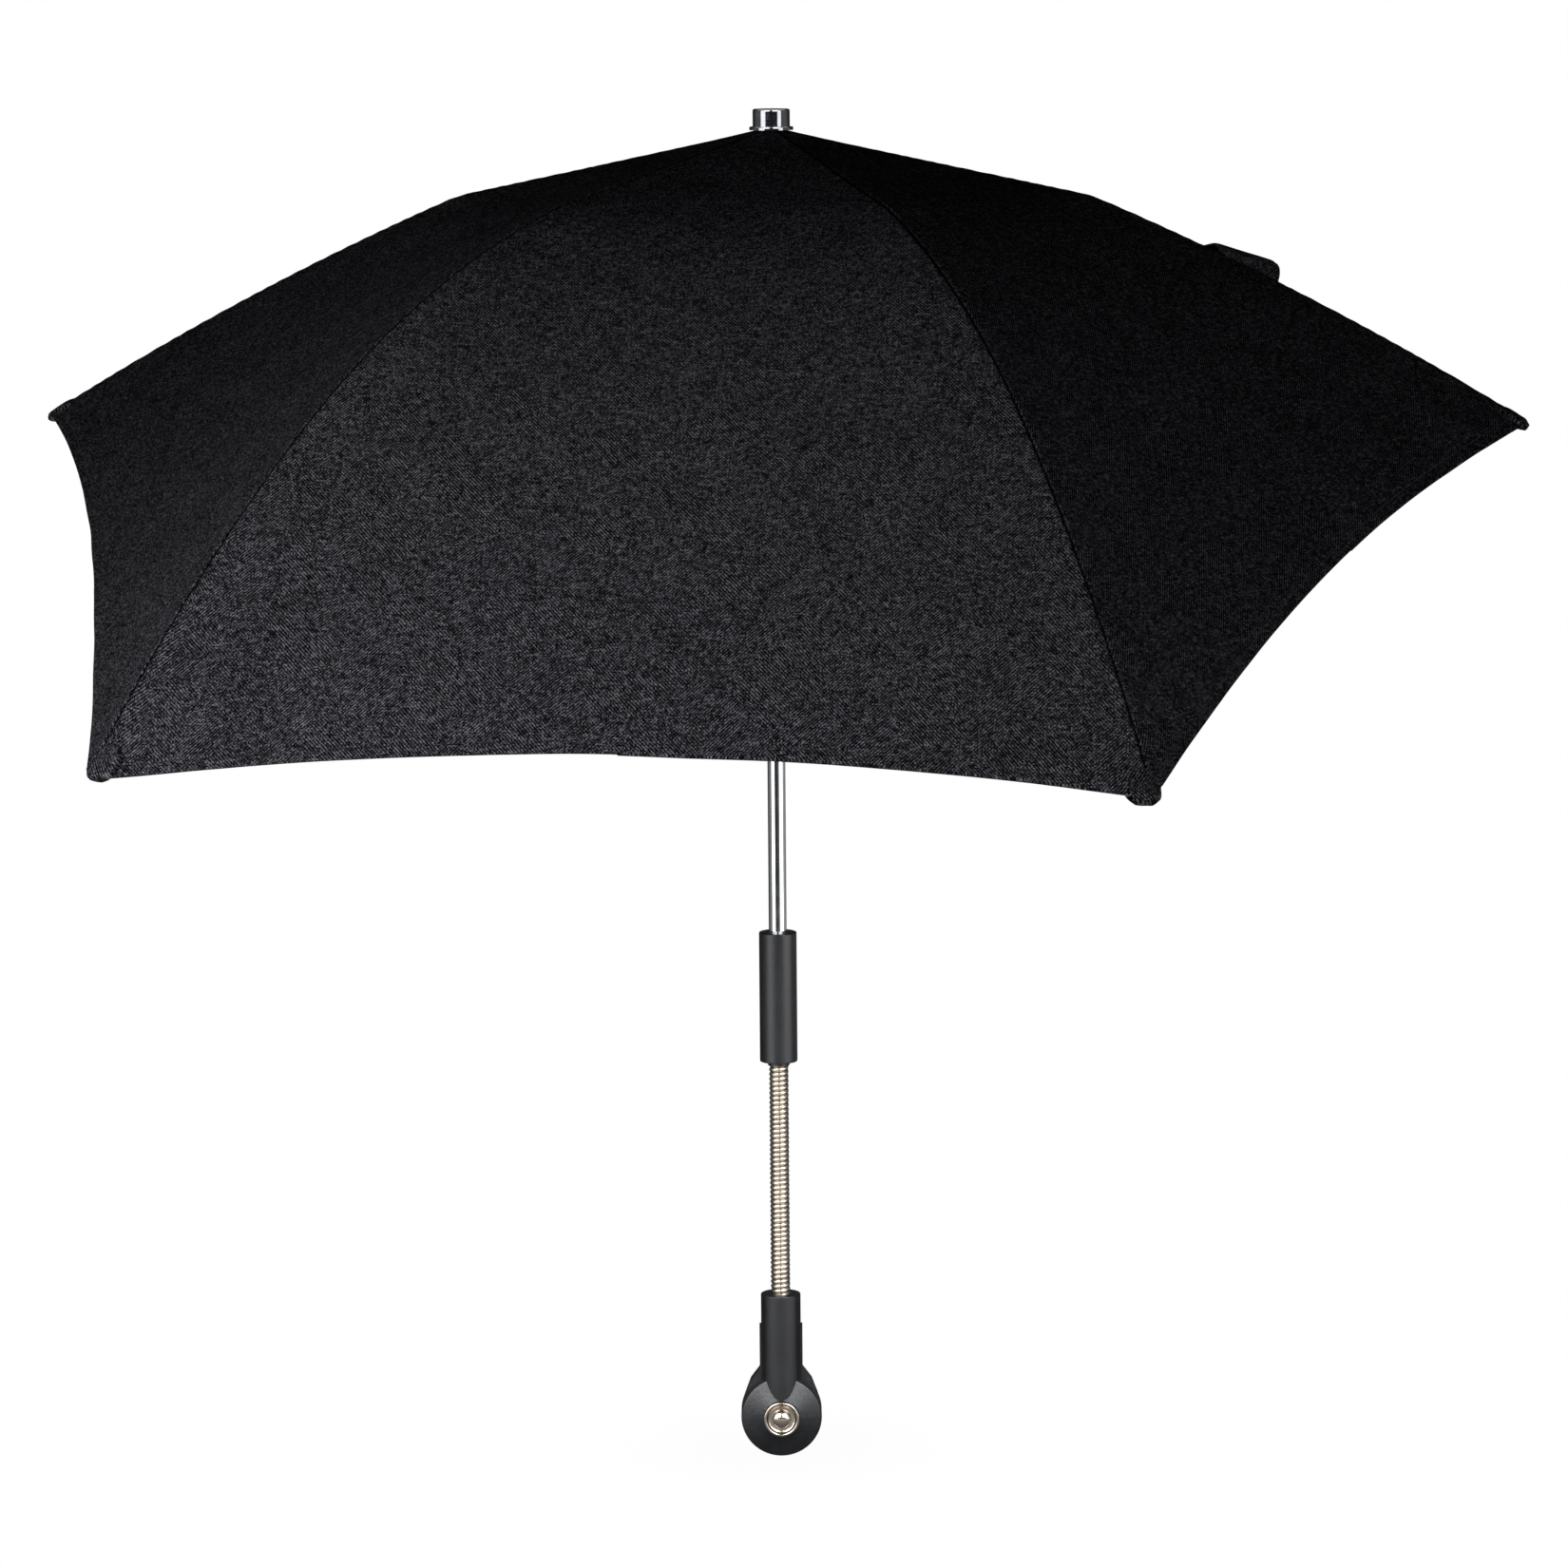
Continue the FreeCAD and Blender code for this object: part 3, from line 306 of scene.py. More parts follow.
winding_metal = plated("winding_nickel", "c2b8a8", "e2d9cb", 0.17, (1.0, 1.0, 0.2))
filler_metal = plated("filler_steel", "2c2a27", "45423d", 0.42, (1.0, 1.0, 0.2))
for part, bodies, foot, top in (
        ("low", ("swivel", "gooseneck"), ARM_FOOT - ARM_SEATED, ARM_MIDDLE),
        ("top", ("gooseneck", "pole"), ARM_MIDDLE, ARM_TOP + ARM_SEATED)):
    for piece in (wound("gooseneck_winding_" + part, foot, top, WINDING_RADIUS, WIRE_DEEP,
                        WIRE_TALL, 16, 0.0, winding_metal),
                  wound("gooseneck_filler_" + part, foot, top, FILLER_RADIUS, FILLER_SIDE,
                        FILLER_SIDE, 6, 0.5, filler_metal)):
        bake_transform(piece)
        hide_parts("gooseneck_coil")

# Pole
# Drawn steel tube, polished and chrome plated, pressed into the sleeve and up into the crown.
dress(plated("pole_chrome", "c4c6c9", "e2e3e5", 0.09, (1.0, 1.0, 0.004)), "pole_tube")

# Crown, runner and push button
# Grey acetal mouldings that turn and slide on the pole; their pins and the cap's stud are steel.
dress(moulded("grey_acetal", "4a4b4d", "5d5e60", 0.45), "crown", "runner")
dress(moulded("black_acetal", "17181a", "232427", 0.4), "runner_button")
dress(plated("bright_steel", "8c8d90", "b4b5b8", 0.26, (1.0, 1.0, 0.05)), "crown_pins", "cap_stud")

# Ribs, brackets, end caps and stretchers
# Black lacquered steel wire, each rib bent once at its bracket and bowed from there to its tip.
# The stretchers are flat pressed links, and the brackets and end caps are black plastic.
RIBS = [("right", "short"), ("back_right", "short"), ("back_left", "short"),
        ("left", "short"), ("front_left", "long"), ("front_right", "long")]


def lacquered(name, dark, light, roughness):
    """Lacquer on steel wire: slightly wavy gloss, with small chips that show grey."""
    material, place = new_finish(name)
    wave = place.speckle(240.0, 3.0, 0.5)
    chip = place.speckle(900.0, 4.0, 0.6).between(0.68, 0.74)
    shade = chip.blend(wave.between(0.3, 0.7).blend(tone(dark), tone(light)), tone("6d6c6a"))
    coat(place, wave - chip * 0.5, 0.00005, 0.4,
         {"Base Color": shade, "Roughness": (wave - 0.5) * 0.15 + roughness,
          "Metallic": chip * 0.9, "Coat Weight": 0.35})
    return material


lacquer = lacquered("black_lacquer", "121214", "1e1e21", 0.36)
link_zinc = plated("link_zinc", "77787b", "9a9b9e", 0.34, (0.1, 0.1, 0.1))
tip_plastic = moulded("tip_plastic", "141416", "202023", 0.45)
for name, kind in RIBS:
    dress(lacquer, "rib_" + name)
    dress(link_zinc, "stretcher_" + name)
    dress(tip_plastic, "rib_tip_" + name, "rib_joint_" + name)

# Cloth
# Woven polyester in a black and grey melange, cut in six gores. Each gore is drawn tight between
# two ribs, its seam allowances pressed open underneath and its hem turned under and stitched.
CROWN = np.array([0.0, POLE_Y, sum(corner.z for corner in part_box("crown_pins")) / 2])
CANOPY_TURN = -10.0
PIN_CIRCLE = 0.0095
RIB_SLOPE = math.radians(11.7)
RIB_RUNS = {"short": ((0.137, 0.0), (0.012, 11.4), (0.110, 4.2), (0.110, 4.2)),
            "long": ((0.137, 0.0), (0.012, 6.0), (0.1855, 22.4), (0.1855, 12.5))}
LAST = 4
RUN_SHARES = (0.0, 0.31, 0.34, 0.67, 1.0)
CLOTH_RISE = 0.004
CLOTH_INNER = 0.006
CLOTH_SHEET = 0.00045
ROW_STEP = 0.0024
PLAIN_COLUMNS = 30
BESIDE_SEAM = (0.0023, 0.0028, 0.0035, 0.0044, 0.0056, 0.0074, 0.0098, 0.013, 0.017)
BESIDE_MIDDLE = (0.0035, 0.0012, 0.0)
UNDER_SHARES = (1.0, 0.6, 0.25)
UNDER_LEAN = 0.6
EDGE_STEPS = 6
HEM_ARCH = 0.018
HEM_TURN = 0.0065
HEM_STEPS = (0.0105, 0.0085, 0.0072, 0.0065, 0.0058, 0.0045, 0.0028, 0.0013)
HEM_PUCKER = 0.0078
HEM_PUCKER_HEIGHT = 0.00013
HEM_PUCKER_PLACE = 0.004
HEM_PUCKER_REACH = 0.003
STITCH_PLACE = 0.0058
STITCH_DIP = 0.00022
STITCH_REACH = 0.0009
CORNER_CUT = {"front_left": 0.005}
PLAIN_CUT = 0.002
CORNER_REACH = 0.011
BEND_STATION = 1.5
CREASE_ROWS = 30
CREASE_FREE = 0.035
CREASE_REACH = 0.075
TIGHT_WIDTH = 0.05
SEAM_TURN = 0.0065
SEAM_WIDE = 0.0019
SEAM_DEEP = 0.0029
SEAM_DIP = 0.0003
SEAM_DIP_REACH = 0.0025
SEAM_REACH = 0.008
SEAM_PAINTED_SHADE = (0.84, 0.91)
SEAM_PUCKER = 0.0085
SEAM_PUCKER_HEIGHT = 0.00016
SEAM_PUCKER_START = 0.0012
SEAM_PUCKER_REACH = 0.006
FOLD_RADIUS = 0.0008
FOLD_REACH = 0.0009
PULLED_IN = {("short", "short"): 0.0028, ("long", "long"): 0.0055}
MIXED_PULL = 0.004
PULL_FULL = 0.75
PULL_EASED = 0.55
PULL_EASED_FROM = 0.67
PULL_EASED_OVER = 0.33
FREE_REACH = 0.03
SLACK = 0.0011
RIPPLE = 0.0004
HALF_REACH = {("short", "short"): 0.0903, ("long", "long"): 0.1086}
MIXED_REACH = 0.0974
PATTERN_APART = 0.7
WARP_STEP = 0.00062
WEFT_STEP = 0.00068
TWILL_STEP = 2.6
YARN_APART = 7.3
WARP_FLECK = 0.2
WEFT_FLECK = 0.16
FIRST_CROSSING = 8000.0
SIDES = {"right": ("front", "back"), "back_right": ("side", "back"), "back_left": ("back", "side"),
         "left": ("back", "front"), "front_left": ("side", "front"),
         "front_right": ("front", "side")}


def melange(name):
    """Plain weave with a faint slant: one yarn is on top at each crossing, and all are mottled.

    Along a seam, where the attribute by_seam is nearly 1, the cloth is darkened: its dark thread
    and a painted shade of the groove that the seam sits in.
    """
    material, place = new_finish(name, "UV")
    sideways = place.node("SeparateXYZ", {}, {0: place})
    along = place.node("SeparateXYZ", {}, {0: place}, output=1)
    warp_run = sideways * (1 / WARP_STEP)
    weft_run = along * (1 / WEFT_STEP)
    warp_number = place.sum("FLOOR", warp_run, 0.0)
    weft_number = place.sum("FLOOR", weft_run, 0.0)
    crossing = place.node("CombineXYZ", {}, {0: warp_number, 1: weft_number})
    mottle = place.node("TexWhiteNoise", {"noise_dimensions": "2D"}, {"Vector": crossing})
    warp = place.node("CombineXYZ", {}, {0: warp_number * YARN_APART, 1: weft_run * WARP_FLECK})
    weft = place.node("CombineXYZ", {}, {0: warp_run * WEFT_FLECK, 1: weft_number * YARN_APART})
    on_top = place.sum("MODULO", warp_number + weft_number + FIRST_CROSSING, 2.0)
    yarn = warp.speckle(1.0, 1.0) * on_top + weft.speckle(1.0, 1.0) * (1 - on_top)
    slub = weft.speckle(1.0, 0.0).between(0.66, 0.80)
    cloud = place.speckle(26.0, 3.0, 0.5).between(0.3, 0.7)
    leaning = place.speckle(34.0, 1.0, 0.5).between(0.42, 0.58)
    rising = place.sum("SINE", (warp_run + weft_run) * (2 * math.pi / TWILL_STEP), 0.0)
    falling = place.sum("SINE", (warp_run - weft_run) * (2 * math.pi / TWILL_STEP), 0.0)
    twill = rising * leaning + falling * (1 - leaning)
    grey = mottle * 0.5 + yarn.between(0.35, 0.65) * 0.46 + slub * 0.12 + twill * 0.26 + 0.01
    shade = (grey * grey * grey).blend(tone("060508"), tone("77757c"))
    shade = (cloud * 0.16).blend(shade, tone("121114"))
    # Painted shade: along the seam the colour goes nearly black, for the groove's shade and the
    # seam's dark thread.
    by_seam = place.node("Attribute", {"attribute_name": "by_seam"}, {}, output="Fac")
    shade = (by_seam.between(*SEAM_PAINTED_SHADE) * 0.9).blend(shade, tone("020203"))
    crown_of_warp = place.sum("SINE", warp_run * (2 * math.pi), 0.0)
    crown_of_weft = place.sum("SINE", weft_run * (2 * math.pi), 0.0)
    coat(place, crown_of_warp * crown_of_weft, 0.00003, 0.3,
         {"Base Color": shade, "Roughness": 0.9 - mottle * 0.12, "Specular IOR Level": 0.0})
    return material


def rib_azimuth(index):
    """The way a rib points, in radians round the pole from the right."""
    return math.radians(360 / len(RIBS) * index + CANOPY_TURN)


def seam_line(index, stations):
    """Points of the cloth's top over a rib, at stations from 0 at the crown to 4 at the tip."""
    first = (CLOTH_INNER - PIN_CIRCLE - CLOTH_RISE * math.sin(RIB_SLOPE)) / math.cos(RIB_SLOPE)
    x = PIN_CIRCLE + first * math.cos(RIB_SLOPE)
    z = -first * math.sin(RIB_SLOPE)
    slope = RIB_SLOPE
    starts = []
    for number, (length, degrees) in enumerate(RIB_RUNS[RIBS[index % len(RIBS)][1]]):
        turn = max(math.radians(degrees), 1e-6)
        bend = (length - first * (number == 0)) / turn
        starts.append((x, z, slope, turn, bend))
        x += bend * (math.sin(slope + turn) - math.sin(slope))
        z -= bend * (math.cos(slope) - math.cos(slope + turn))
        slope += turn
    run = np.clip(np.floor(stations), 0, LAST - 1).astype(int)
    x, z, slope, turn, bend = np.moveaxis(np.array(starts)[run], -1, 0)
    after = slope + turn * (stations - run)
    reach = x + bend * (np.sin(after) - np.sin(slope)) + CLOTH_RISE * np.sin(after)
    height = z - bend * (np.cos(slope) - np.cos(after)) + CLOTH_RISE * np.cos(after)
    azimuth = rib_azimuth(index)
    way = np.stack([reach * math.cos(azimuth), reach * math.sin(azimuth), height], axis=-1)
    return CROWN + way, reach


def on_gore(index, neighbour, shares, stations):
    """Points of a gore's half, shares from 0 on the rib's seam to 1 on the gore's middle line."""
    near, near_reach = seam_line(index, stations)
    far, far_reach = seam_line(neighbour, stations)
    across = shares * near_reach / (near_reach + far_reach)
    return near + (far - near) * across[..., None], across


def gore_normal(index, neighbour, shares, stations):
    """The ways outwards from the cloth at those points."""
    step = 1e-3
    along = (on_gore(index, neighbour, shares, stations + step)[0]
             - on_gore(index, neighbour, shares, stations - step)[0])
    aside = (on_gore(index, neighbour, shares + step, stations)[0]
             - on_gore(index, neighbour, shares - step, stations)[0])
    normal = np.cross(along, aside)
    normal = np.where(normal[..., 2:] < 0, -normal, normal)
    return normal / np.linalg.norm(normal, axis=-1, keepdims=True)


def eased(values):
    """From 0 to 1 as the values go from 0 to 1, starting and ending gently."""
    held = np.clip(values, 0.0, 1.0)
    return held * held * (3 - 2 * held)


def wander(points, scale, seed):
    """Soft seeded unevenness about zero at each of the points, from waves that cross at random."""
    dice = np.random.default_rng(seed)
    ways = dice.normal(size=(3, 9)) * scale * 2.2
    return np.sin(points @ ways + dice.uniform(0, 2 * math.pi, 9)).sum(axis=-1) / 6


def turned_edge(turned, low, first, wide, deep):
    """Steps in from an edge and down, from the end of what is turned under round to the top."""
    under = [(turned * share, -low * (1 - UNDER_LEAN * share)) for share in UNDER_SHARES]
    fold = bow((0.0, 0.0), wide, deep, first, 90, EDGE_STEPS)
    return under + [(wide + x, z - deep) for x, z in fold]


def flat_corner(one, two, one_far, two_far):
    """The point at given distances from two points of the flat pattern, on the hem's side."""
    gap = two - one
    wide = np.linalg.norm(gap)
    ahead = (one_far ** 2 - two_far ** 2 + wide ** 2) / (2 * wide)
    aside = math.sqrt(max(one_far ** 2 - ahead ** 2, 0.0))
    way = gap / wide
    return one + way * ahead + np.array([-way[1], way[0]]) * aside


class HalfGore:
    """One half gore: a grid of points from crown to hem and from seam to middle, and its pattern."""

    def __init__(self, index, neighbour):
        kinds = (RIBS[index % len(RIBS)][1], RIBS[neighbour % len(RIBS)][1])
        self.index = index
        self.neighbour = neighbour
        seam_edge = turned_edge(SEAM_TURN, SEAM_DEEP, 180, SEAM_WIDE, SEAM_DEEP)
        self.seam_column = len(UNDER_SHARES)
        hem_fold = turned_edge(HEM_TURN, 2 * FOLD_RADIUS, 270, FOLD_RADIUS, FOLD_RADIUS)
        hem_edge = [(-step, down) for step, down in reversed(hem_fold)]
        hem_rows = [(-step, 0.0) for step in HEM_STEPS] + hem_edge
        body = []
        for run in range(LAST):
            count = round(max(RIB_RUNS[kind][run][0] for kind in kinds) / ROW_STEP) + 2
            body += [run + step / count for step in range(count)]
        self.body_rows = len(body)
        rows = len(body) + len(hem_rows)
        self.top = len(seam_edge) - 1
        columns = len(seam_edge) + len(BESIDE_SEAM) + PLAIN_COLUMNS + len(BESIDE_MIDDLE)

        # Columns lie at set distances beside the seam, and evenly from there to the middle
        first = np.array(body + [float(LAST)] * len(hem_rows))
        seam_at = seam_line(index, first)[0]
        middle_at = on_gore(index, neighbour, first * 0 + 1, first)[0]
        wide = np.linalg.norm(middle_at - seam_at, axis=-1)
        tight = np.minimum(1.0, wide / TIGHT_WIDTH)
        in_from_seam = np.zeros((rows, columns))
        down = np.zeros((rows, columns))
        for row in range(rows):
            near = [step * tight[row] for step, drop in seam_edge]
            near += [step * tight[row] for step in BESIDE_SEAM]
            far = [wide[row] - step * tight[row] for step in BESIDE_MIDDLE]
            share = (far[0] - near[-1]) / (PLAIN_COLUMNS + 1)
            plain = [near[-1] + share * (step + 1) for step in range(PLAIN_COLUMNS)]
            in_from_seam[row] = near + plain + far
            down[row, :len(seam_edge)] = [drop * tight[row] for step, drop in seam_edge]
        shares = in_from_seam / wide[:, None]
        # How near each point lies to the seam; the cloth's colour paints the seam's groove shade and
        # dark thread from this.
        self.by_seam = np.clip(1 - in_from_seam / SEAM_REACH, 0.0, 1.0)

        # Rows end at the arched hem, and go round it and back underneath
        last_run = [RIB_RUNS[kind][-1][0] for kind in kinds]
        across = on_gore(index, neighbour, shares, shares * 0 + LAST)[1]
        run = last_run[0] + (last_run[1] - last_run[0]) * across
        cut = CORNER_CUT.get(RIBS[index % len(RIBS)][0], PLAIN_CUT)
        blunt = cut * np.clip(1 - in_from_seam / CORNER_REACH, 0.0, 1.0) ** 2
        hem = LAST - (HEM_ARCH * 4 * across * (1 - across) + blunt) / run
        hem_steps = np.array([step for step, drop in hem_rows])[:, None]
        stations = np.repeat(first[:, None], columns, axis=1)
        short = (hem + hem_steps[0] / run - (LAST - 1))[:len(body)]
        bodies = stations[:len(body)]
        shortened = LAST - 1 + (bodies - LAST + 1) * short
        stations[:len(body)] = np.where(bodies > LAST - 1, shortened, bodies)
        stations[len(body):] = hem[len(body):] + hem_steps / run[len(body):]
        down[len(body):] += np.array([drop for step, drop in hem_rows])[:, None]
        points, across = on_gore(index, neighbour, shares, stations)
        self.normal = gore_normal(index, neighbour, shares, stations)

        # Away from the ribs the cloth rounds off the crease that their bends would give it
        spread = np.hanning(2 * CREASE_ROWS + 1)
        padded = np.pad(points, ((CREASE_ROWS, CREASE_ROWS), (0, 0), (0, 0)), mode="edge")
        rounded = sum(padded[step:step + rows] * weight for step, weight in enumerate(spread))
        from_bend = np.linalg.norm(points - points[first.searchsorted(BEND_STATION)], axis=-1)
        loose = eased(in_from_seam / CREASE_FREE) * np.exp(-(from_bend / CREASE_REACH) ** 2)
        points += (rounded / spread.sum() - points) * loose[..., None]

        # Drawn in a little between its ribs, and puckered along its seam and stitched hem
        pulled = PULLED_IN.get(kinds, MIXED_PULL) * 4 * across * (1 - across)
        travelled = np.interp(stations, range(LAST + 1), RUN_SHARES)
        slackened = PULL_EASED * eased((travelled - PULL_EASED_FROM) / PULL_EASED_OVER)
        lift = -pulled * eased(travelled / PULL_FULL) * (1 - slackened)
        free = eased(in_from_seam / FREE_REACH) * eased(stations)
        lift += (wander(points, 14.0, 3) * SLACK + wander(points, 37.0, 11) * RIPPLE) * free
        reach = np.linalg.norm(points - CROWN, axis=-1)
        phase = reach * 2 * math.pi / SEAM_PUCKER + wander(points, 45.0, 5) * 7.0
        near_seam = np.exp(-in_from_seam / SEAM_PUCKER_REACH)
        near_seam *= eased(in_from_seam / SEAM_PUCKER_START)
        lift += np.sin(phase) * near_seam * SEAM_PUCKER_HEIGHT * tight[:, None]
        lift -= SEAM_DIP * np.exp(-in_from_seam / SEAM_DIP_REACH) * tight[:, None]
        from_hem = (hem - stations) * run
        phase = in_from_seam * 2 * math.pi / HEM_PUCKER + wander(points, 40.0, 8) * 6.0
        near_hem = np.exp(-np.abs(from_hem - HEM_PUCKER_PLACE) / HEM_PUCKER_REACH)
        lift += np.sin(phase) * HEM_PUCKER_HEIGHT * near_hem
        by_stitches = np.exp(-((from_hem - STITCH_PLACE) / STITCH_REACH) ** 2)
        lift -= STITCH_DIP * by_stitches * (down > -1e-6)
        self.points = points + self.normal * (lift + down)[..., None]
        self.unroll(rows, wide)

    def unroll(self, rows, wide):
        """The flat pattern: the rows laid out one after another, with the middle line upright."""
        seam = self.points[:, self.seam_column]
        middle = self.points[:, -1]
        lines = [(np.zeros(2), np.array([wide[0], 0.0]))]
        for row in range(1, rows):
            one, two = lines[-1]
            one_next = flat_corner(one, two, np.linalg.norm(seam[row] - seam[row - 1]),
                                   np.linalg.norm(seam[row] - middle[row - 1]))
            two_next = flat_corner(one_next, two, np.linalg.norm(middle[row] - seam[row]),
                                   np.linalg.norm(middle[row] - middle[row - 1]))
            lines.append((one_next, two_next))
        steps = np.linalg.norm(np.diff(self.points, axis=1), axis=-1)
        along = np.concatenate([np.zeros((rows, 1)), np.cumsum(steps, axis=1)], axis=1)
        along -= along[:, self.seam_column:self.seam_column + 1]
        along /= along[:, -1:]
        one = np.array([line[0] for line in lines])[:, None]
        two = np.array([line[1] for line in lines])[:, None]
        flat = one + (two - one) * along[..., None]
        upright = lines[self.body_rows][1] - lines[0][1]
        upright /= np.linalg.norm(upright)
        flat = flat - lines[0][1]
        self.flat = np.stack([flat[..., 0] * upright[1] - flat[..., 1] * upright[0],
                              flat[..., 0] * upright[0] + flat[..., 1] * upright[1]], axis=-1)
        sides = self.flat[1:, 1:] - self.flat[:-1, :-1], self.flat[1:, :-1] - self.flat[:-1, 1:]
        self.area = float(np.abs(sides[0][..., 0] * sides[1][..., 1]
                                 - sides[0][..., 1] * sides[1][..., 0]).sum() / 2)
        self.size = [float(side) for side in np.ptp(self.flat.reshape(-1, 2), axis=0)]

    def sheet(self, name, material):
        """The cloth itself, a grid laid on these points and given its thickness inwards.

        Where the hem's fold crosses the seam's, the inner layer is kept close to the outer one.
        """
        rows, columns = self.points.shape[:2]
        mirrored = 1 if self.neighbour > self.index else -1
        gore = min(self.index, self.neighbour) % len(RIBS)
        bm = bmesh.new()
        pattern = bm.verts.layers.float_vector.new("pattern")
        by_seam = bm.verts.layers.float.new("by_seam")
        bmesh.ops.create_grid(bm, x_segments=columns - 1, y_segments=rows - 1, size=1.0)
        for number, vert in enumerate(bm.verts):
            row, column = divmod(number, columns)
            vert.co = self.points[row, column]
            vert[by_seam] = self.by_seam[row, column]
            u, v = self.flat[row, column]
            vert[pattern] = (u * mirrored + PATTERN_APART * gore, v, 0.0)
        if mirrored > 0:
            bmesh.ops.reverse_faces(bm, faces=bm.faces)
        whole = bm.verts[:] + bm.edges[:] + bm.faces[:]
        bmesh.ops.solidify(bm, geom=whole, thickness=CLOTH_SHEET)
        layers = bm.verts[:]
        for outer, inner in zip(layers[:rows * columns], layers[rows * columns:]):
            apart = inner.co - outer.co
            if apart.length > FOLD_REACH:
                inner.co = outer.co + apart.normalized() * CLOTH_SHEET
        return made_with_pattern(name, bm, material)


def made_with_pattern(name, bm, material):
    """A finished piece whose weave lies as its flat pattern does, its cut edges left sharp."""
    pattern = bm.verts.layers.float_vector["pattern"]
    weave = bm.loops.layers.uv.new("weave")
    for face in bm.faces:
        for loop in face.loops:
            loop[weave].uv = loop.vert[pattern].xy
    bm.normal_update()
    for edge in bm.edges:
        edge.smooth = edge.calc_face_angle(0.0) < math.radians(60)
    bm.verts.layers.float_vector.remove(pattern)
    return made(name, bm, material)


def fold_with(piece, half):
    """Bakes a piece of a half gore where it stands; its rib and side are looked up, but nothing here
    turns it.
    """
    name, kind = RIBS[half.index]
    side = SIDES[name][half.neighbour > half.index]
    kinds = (kind, RIBS[half.neighbour % len(RIBS)][1])
    azimuth = rib_azimuth(half.index)
    aside = math.copysign(HALF_REACH.get(kinds, MIXED_REACH), half.neighbour - half.index)
    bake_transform(piece)


cloth = melange("melange_cloth")
halves = {}
sheets = {}
for index, (name, kind) in enumerate(RIBS):
    for side, neighbour in zip(SIDES[name], (index - 1, index + 1)):
        half = HalfGore(index, neighbour)
        halves[name, side] = half
        sheets[name, side] = half.sheet("canopy_%s_%s" % (name, side), cloth)
        fold_with(sheets[name, side], half)
        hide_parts("cloth_%s_%s" % (name, side))

# Hem stitching
# One row of black lockstitch through the turned hem, its thread sunk a little into the cloth.
STITCH_LENGTH = 0.0026
STITCH_GAP = 0.0007
THREAD_RADIUS = 0.0002


def threaded(name):
    """Spun polyester thread: fine twist lines along its stitches."""
    material, place = new_finish(name)
    twist = place.speckle(5200.0, 2.0, 0.6)
    shade = twist.between(0.3, 0.7).blend(tone("0e0d10"), tone("232226"))
    coat(place, twist, 0.00006, 0.5,
         {"Base Color": shade, "Roughness": 0.6 + twist * 0.2, "Specular IOR Level": 0.1})
    return material


def stitched(name, line, ways, material):
    """Stitches laid end to end along a line of points, each a small drawn-out bead."""
    bm = bmesh.new()
    lengths = np.linalg.norm(np.diff(line, axis=0), axis=-1)
    marks = np.concatenate([[0.0], np.cumsum(lengths)])
    step = STITCH_LENGTH + STITCH_GAP
    for number in range(int(marks[-1] / step)):
        ends = [np.array([np.interp(number * step + at, marks, line[:, axis]) for axis in range(3)])
                for at in (0.0, STITCH_LENGTH)]
        up = Vector([np.interp(number * step, marks, ways[:, axis]) for axis in range(3)])
        along = Vector(ends[1] - ends[0]).normalized()
        aside = up.cross(along).normalized()
        turn = Matrix((along, aside, along.cross(aside))).transposed().to_4x4()
        place = Matrix.Translation(Vector((ends[0] + ends[1]) / 2)) @ turn
        sized = Matrix.Diagonal((STITCH_LENGTH / 2, THREAD_RADIUS, THREAD_RADIUS, 1.0))
        bmesh.ops.create_uvsphere(bm, u_segments=6, v_segments=5, radius=1.0,
                                  matrix=place @ sized @ Matrix.Rotation(math.pi / 2, 4, "Y"))
    return made(name, bm, material)


thread = threaded("hem_thread")
hem_threads = {}
for (name, side), half in halves.items():
    row = half.body_rows + HEM_STEPS.index(STITCH_PLACE)
    line = half.points[row, half.top:] + half.normal[row, half.top:] * THREAD_RADIUS * 0.35
    hem_threads[name, side] = stitched("hem_stitches_%s_%s" % (name, side), line,
                                       half.normal[row, half.top:], thread)
    fold_with(hem_threads[name, side], half)

# Corner pockets
# A small doubled patch of the same cloth at each rib's end, sewn to the corner of the hem, into
# which the rib's end cap is pushed. It is rounded and a little crumpled.
POCKET_LENGTH = 0.0085
POCKET_WIDTH = 0.0080
POCKET_HEIGHT = 0.0030
POCKET_SHIFT = {"front_left": 0.003, "front_right": -0.003}
POCKET_PROUD = 0.0012
POCKET_RAISED = 0.0009
POCKET_BOXY = 0.7
POCKET_CRUMPLE = 0.08


def pocket(index, name):
    """A boxy rounded patch round the end of a rib, a little crumpled."""
    bm = bmesh.new()
    pattern = bm.verts.layers.float_vector.new("pattern")
    bmesh.ops.create_uvsphere(bm, u_segments=28, v_segments=18, radius=1.0)
    ends = seam_line(index, np.array([LAST - 0.05, LAST]))[0]
    along = Vector(ends[1] - ends[0]).normalized()
    azimuth = rib_azimuth(index)
    aside = Vector((-math.sin(azimuth), math.cos(azimuth), 0))
    up = along.cross(aside)
    up *= math.copysign(1.0, up.z)
    short = POCKET_LENGTH - POCKET_PROUD + CORNER_CUT.get(name, PLAIN_CUT) - PLAIN_CUT
    middle = Vector(ends[1]) - along * short - up * (CLOTH_RISE - POCKET_RAISED)
    middle += aside * POCKET_SHIFT.get(name, 0.0)
    for vert in bm.verts:
        crease = 1 + POCKET_CRUMPLE * noise.noise(vert.co * 2.3 + Vector((index, 0, 0)))
        x, y, z = (math.copysign(abs(way) ** POCKET_BOXY, way) * crease for way in vert.co)
        vert[pattern] = (y * POCKET_WIDTH, x * POCKET_LENGTH, 0.0)
        vert.co = (middle + along * x * POCKET_LENGTH + aside * y * POCKET_WIDTH
                   + up * z * POCKET_HEIGHT)
    return made_with_pattern("pocket_" + name, bm, cloth)


for index, (name, kind) in enumerate(RIBS):
    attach(pocket(index, name), "rib_" + name)
    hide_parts("rib_tip_" + name)

for (name, side), half in halves.items():
    "rib_" + name

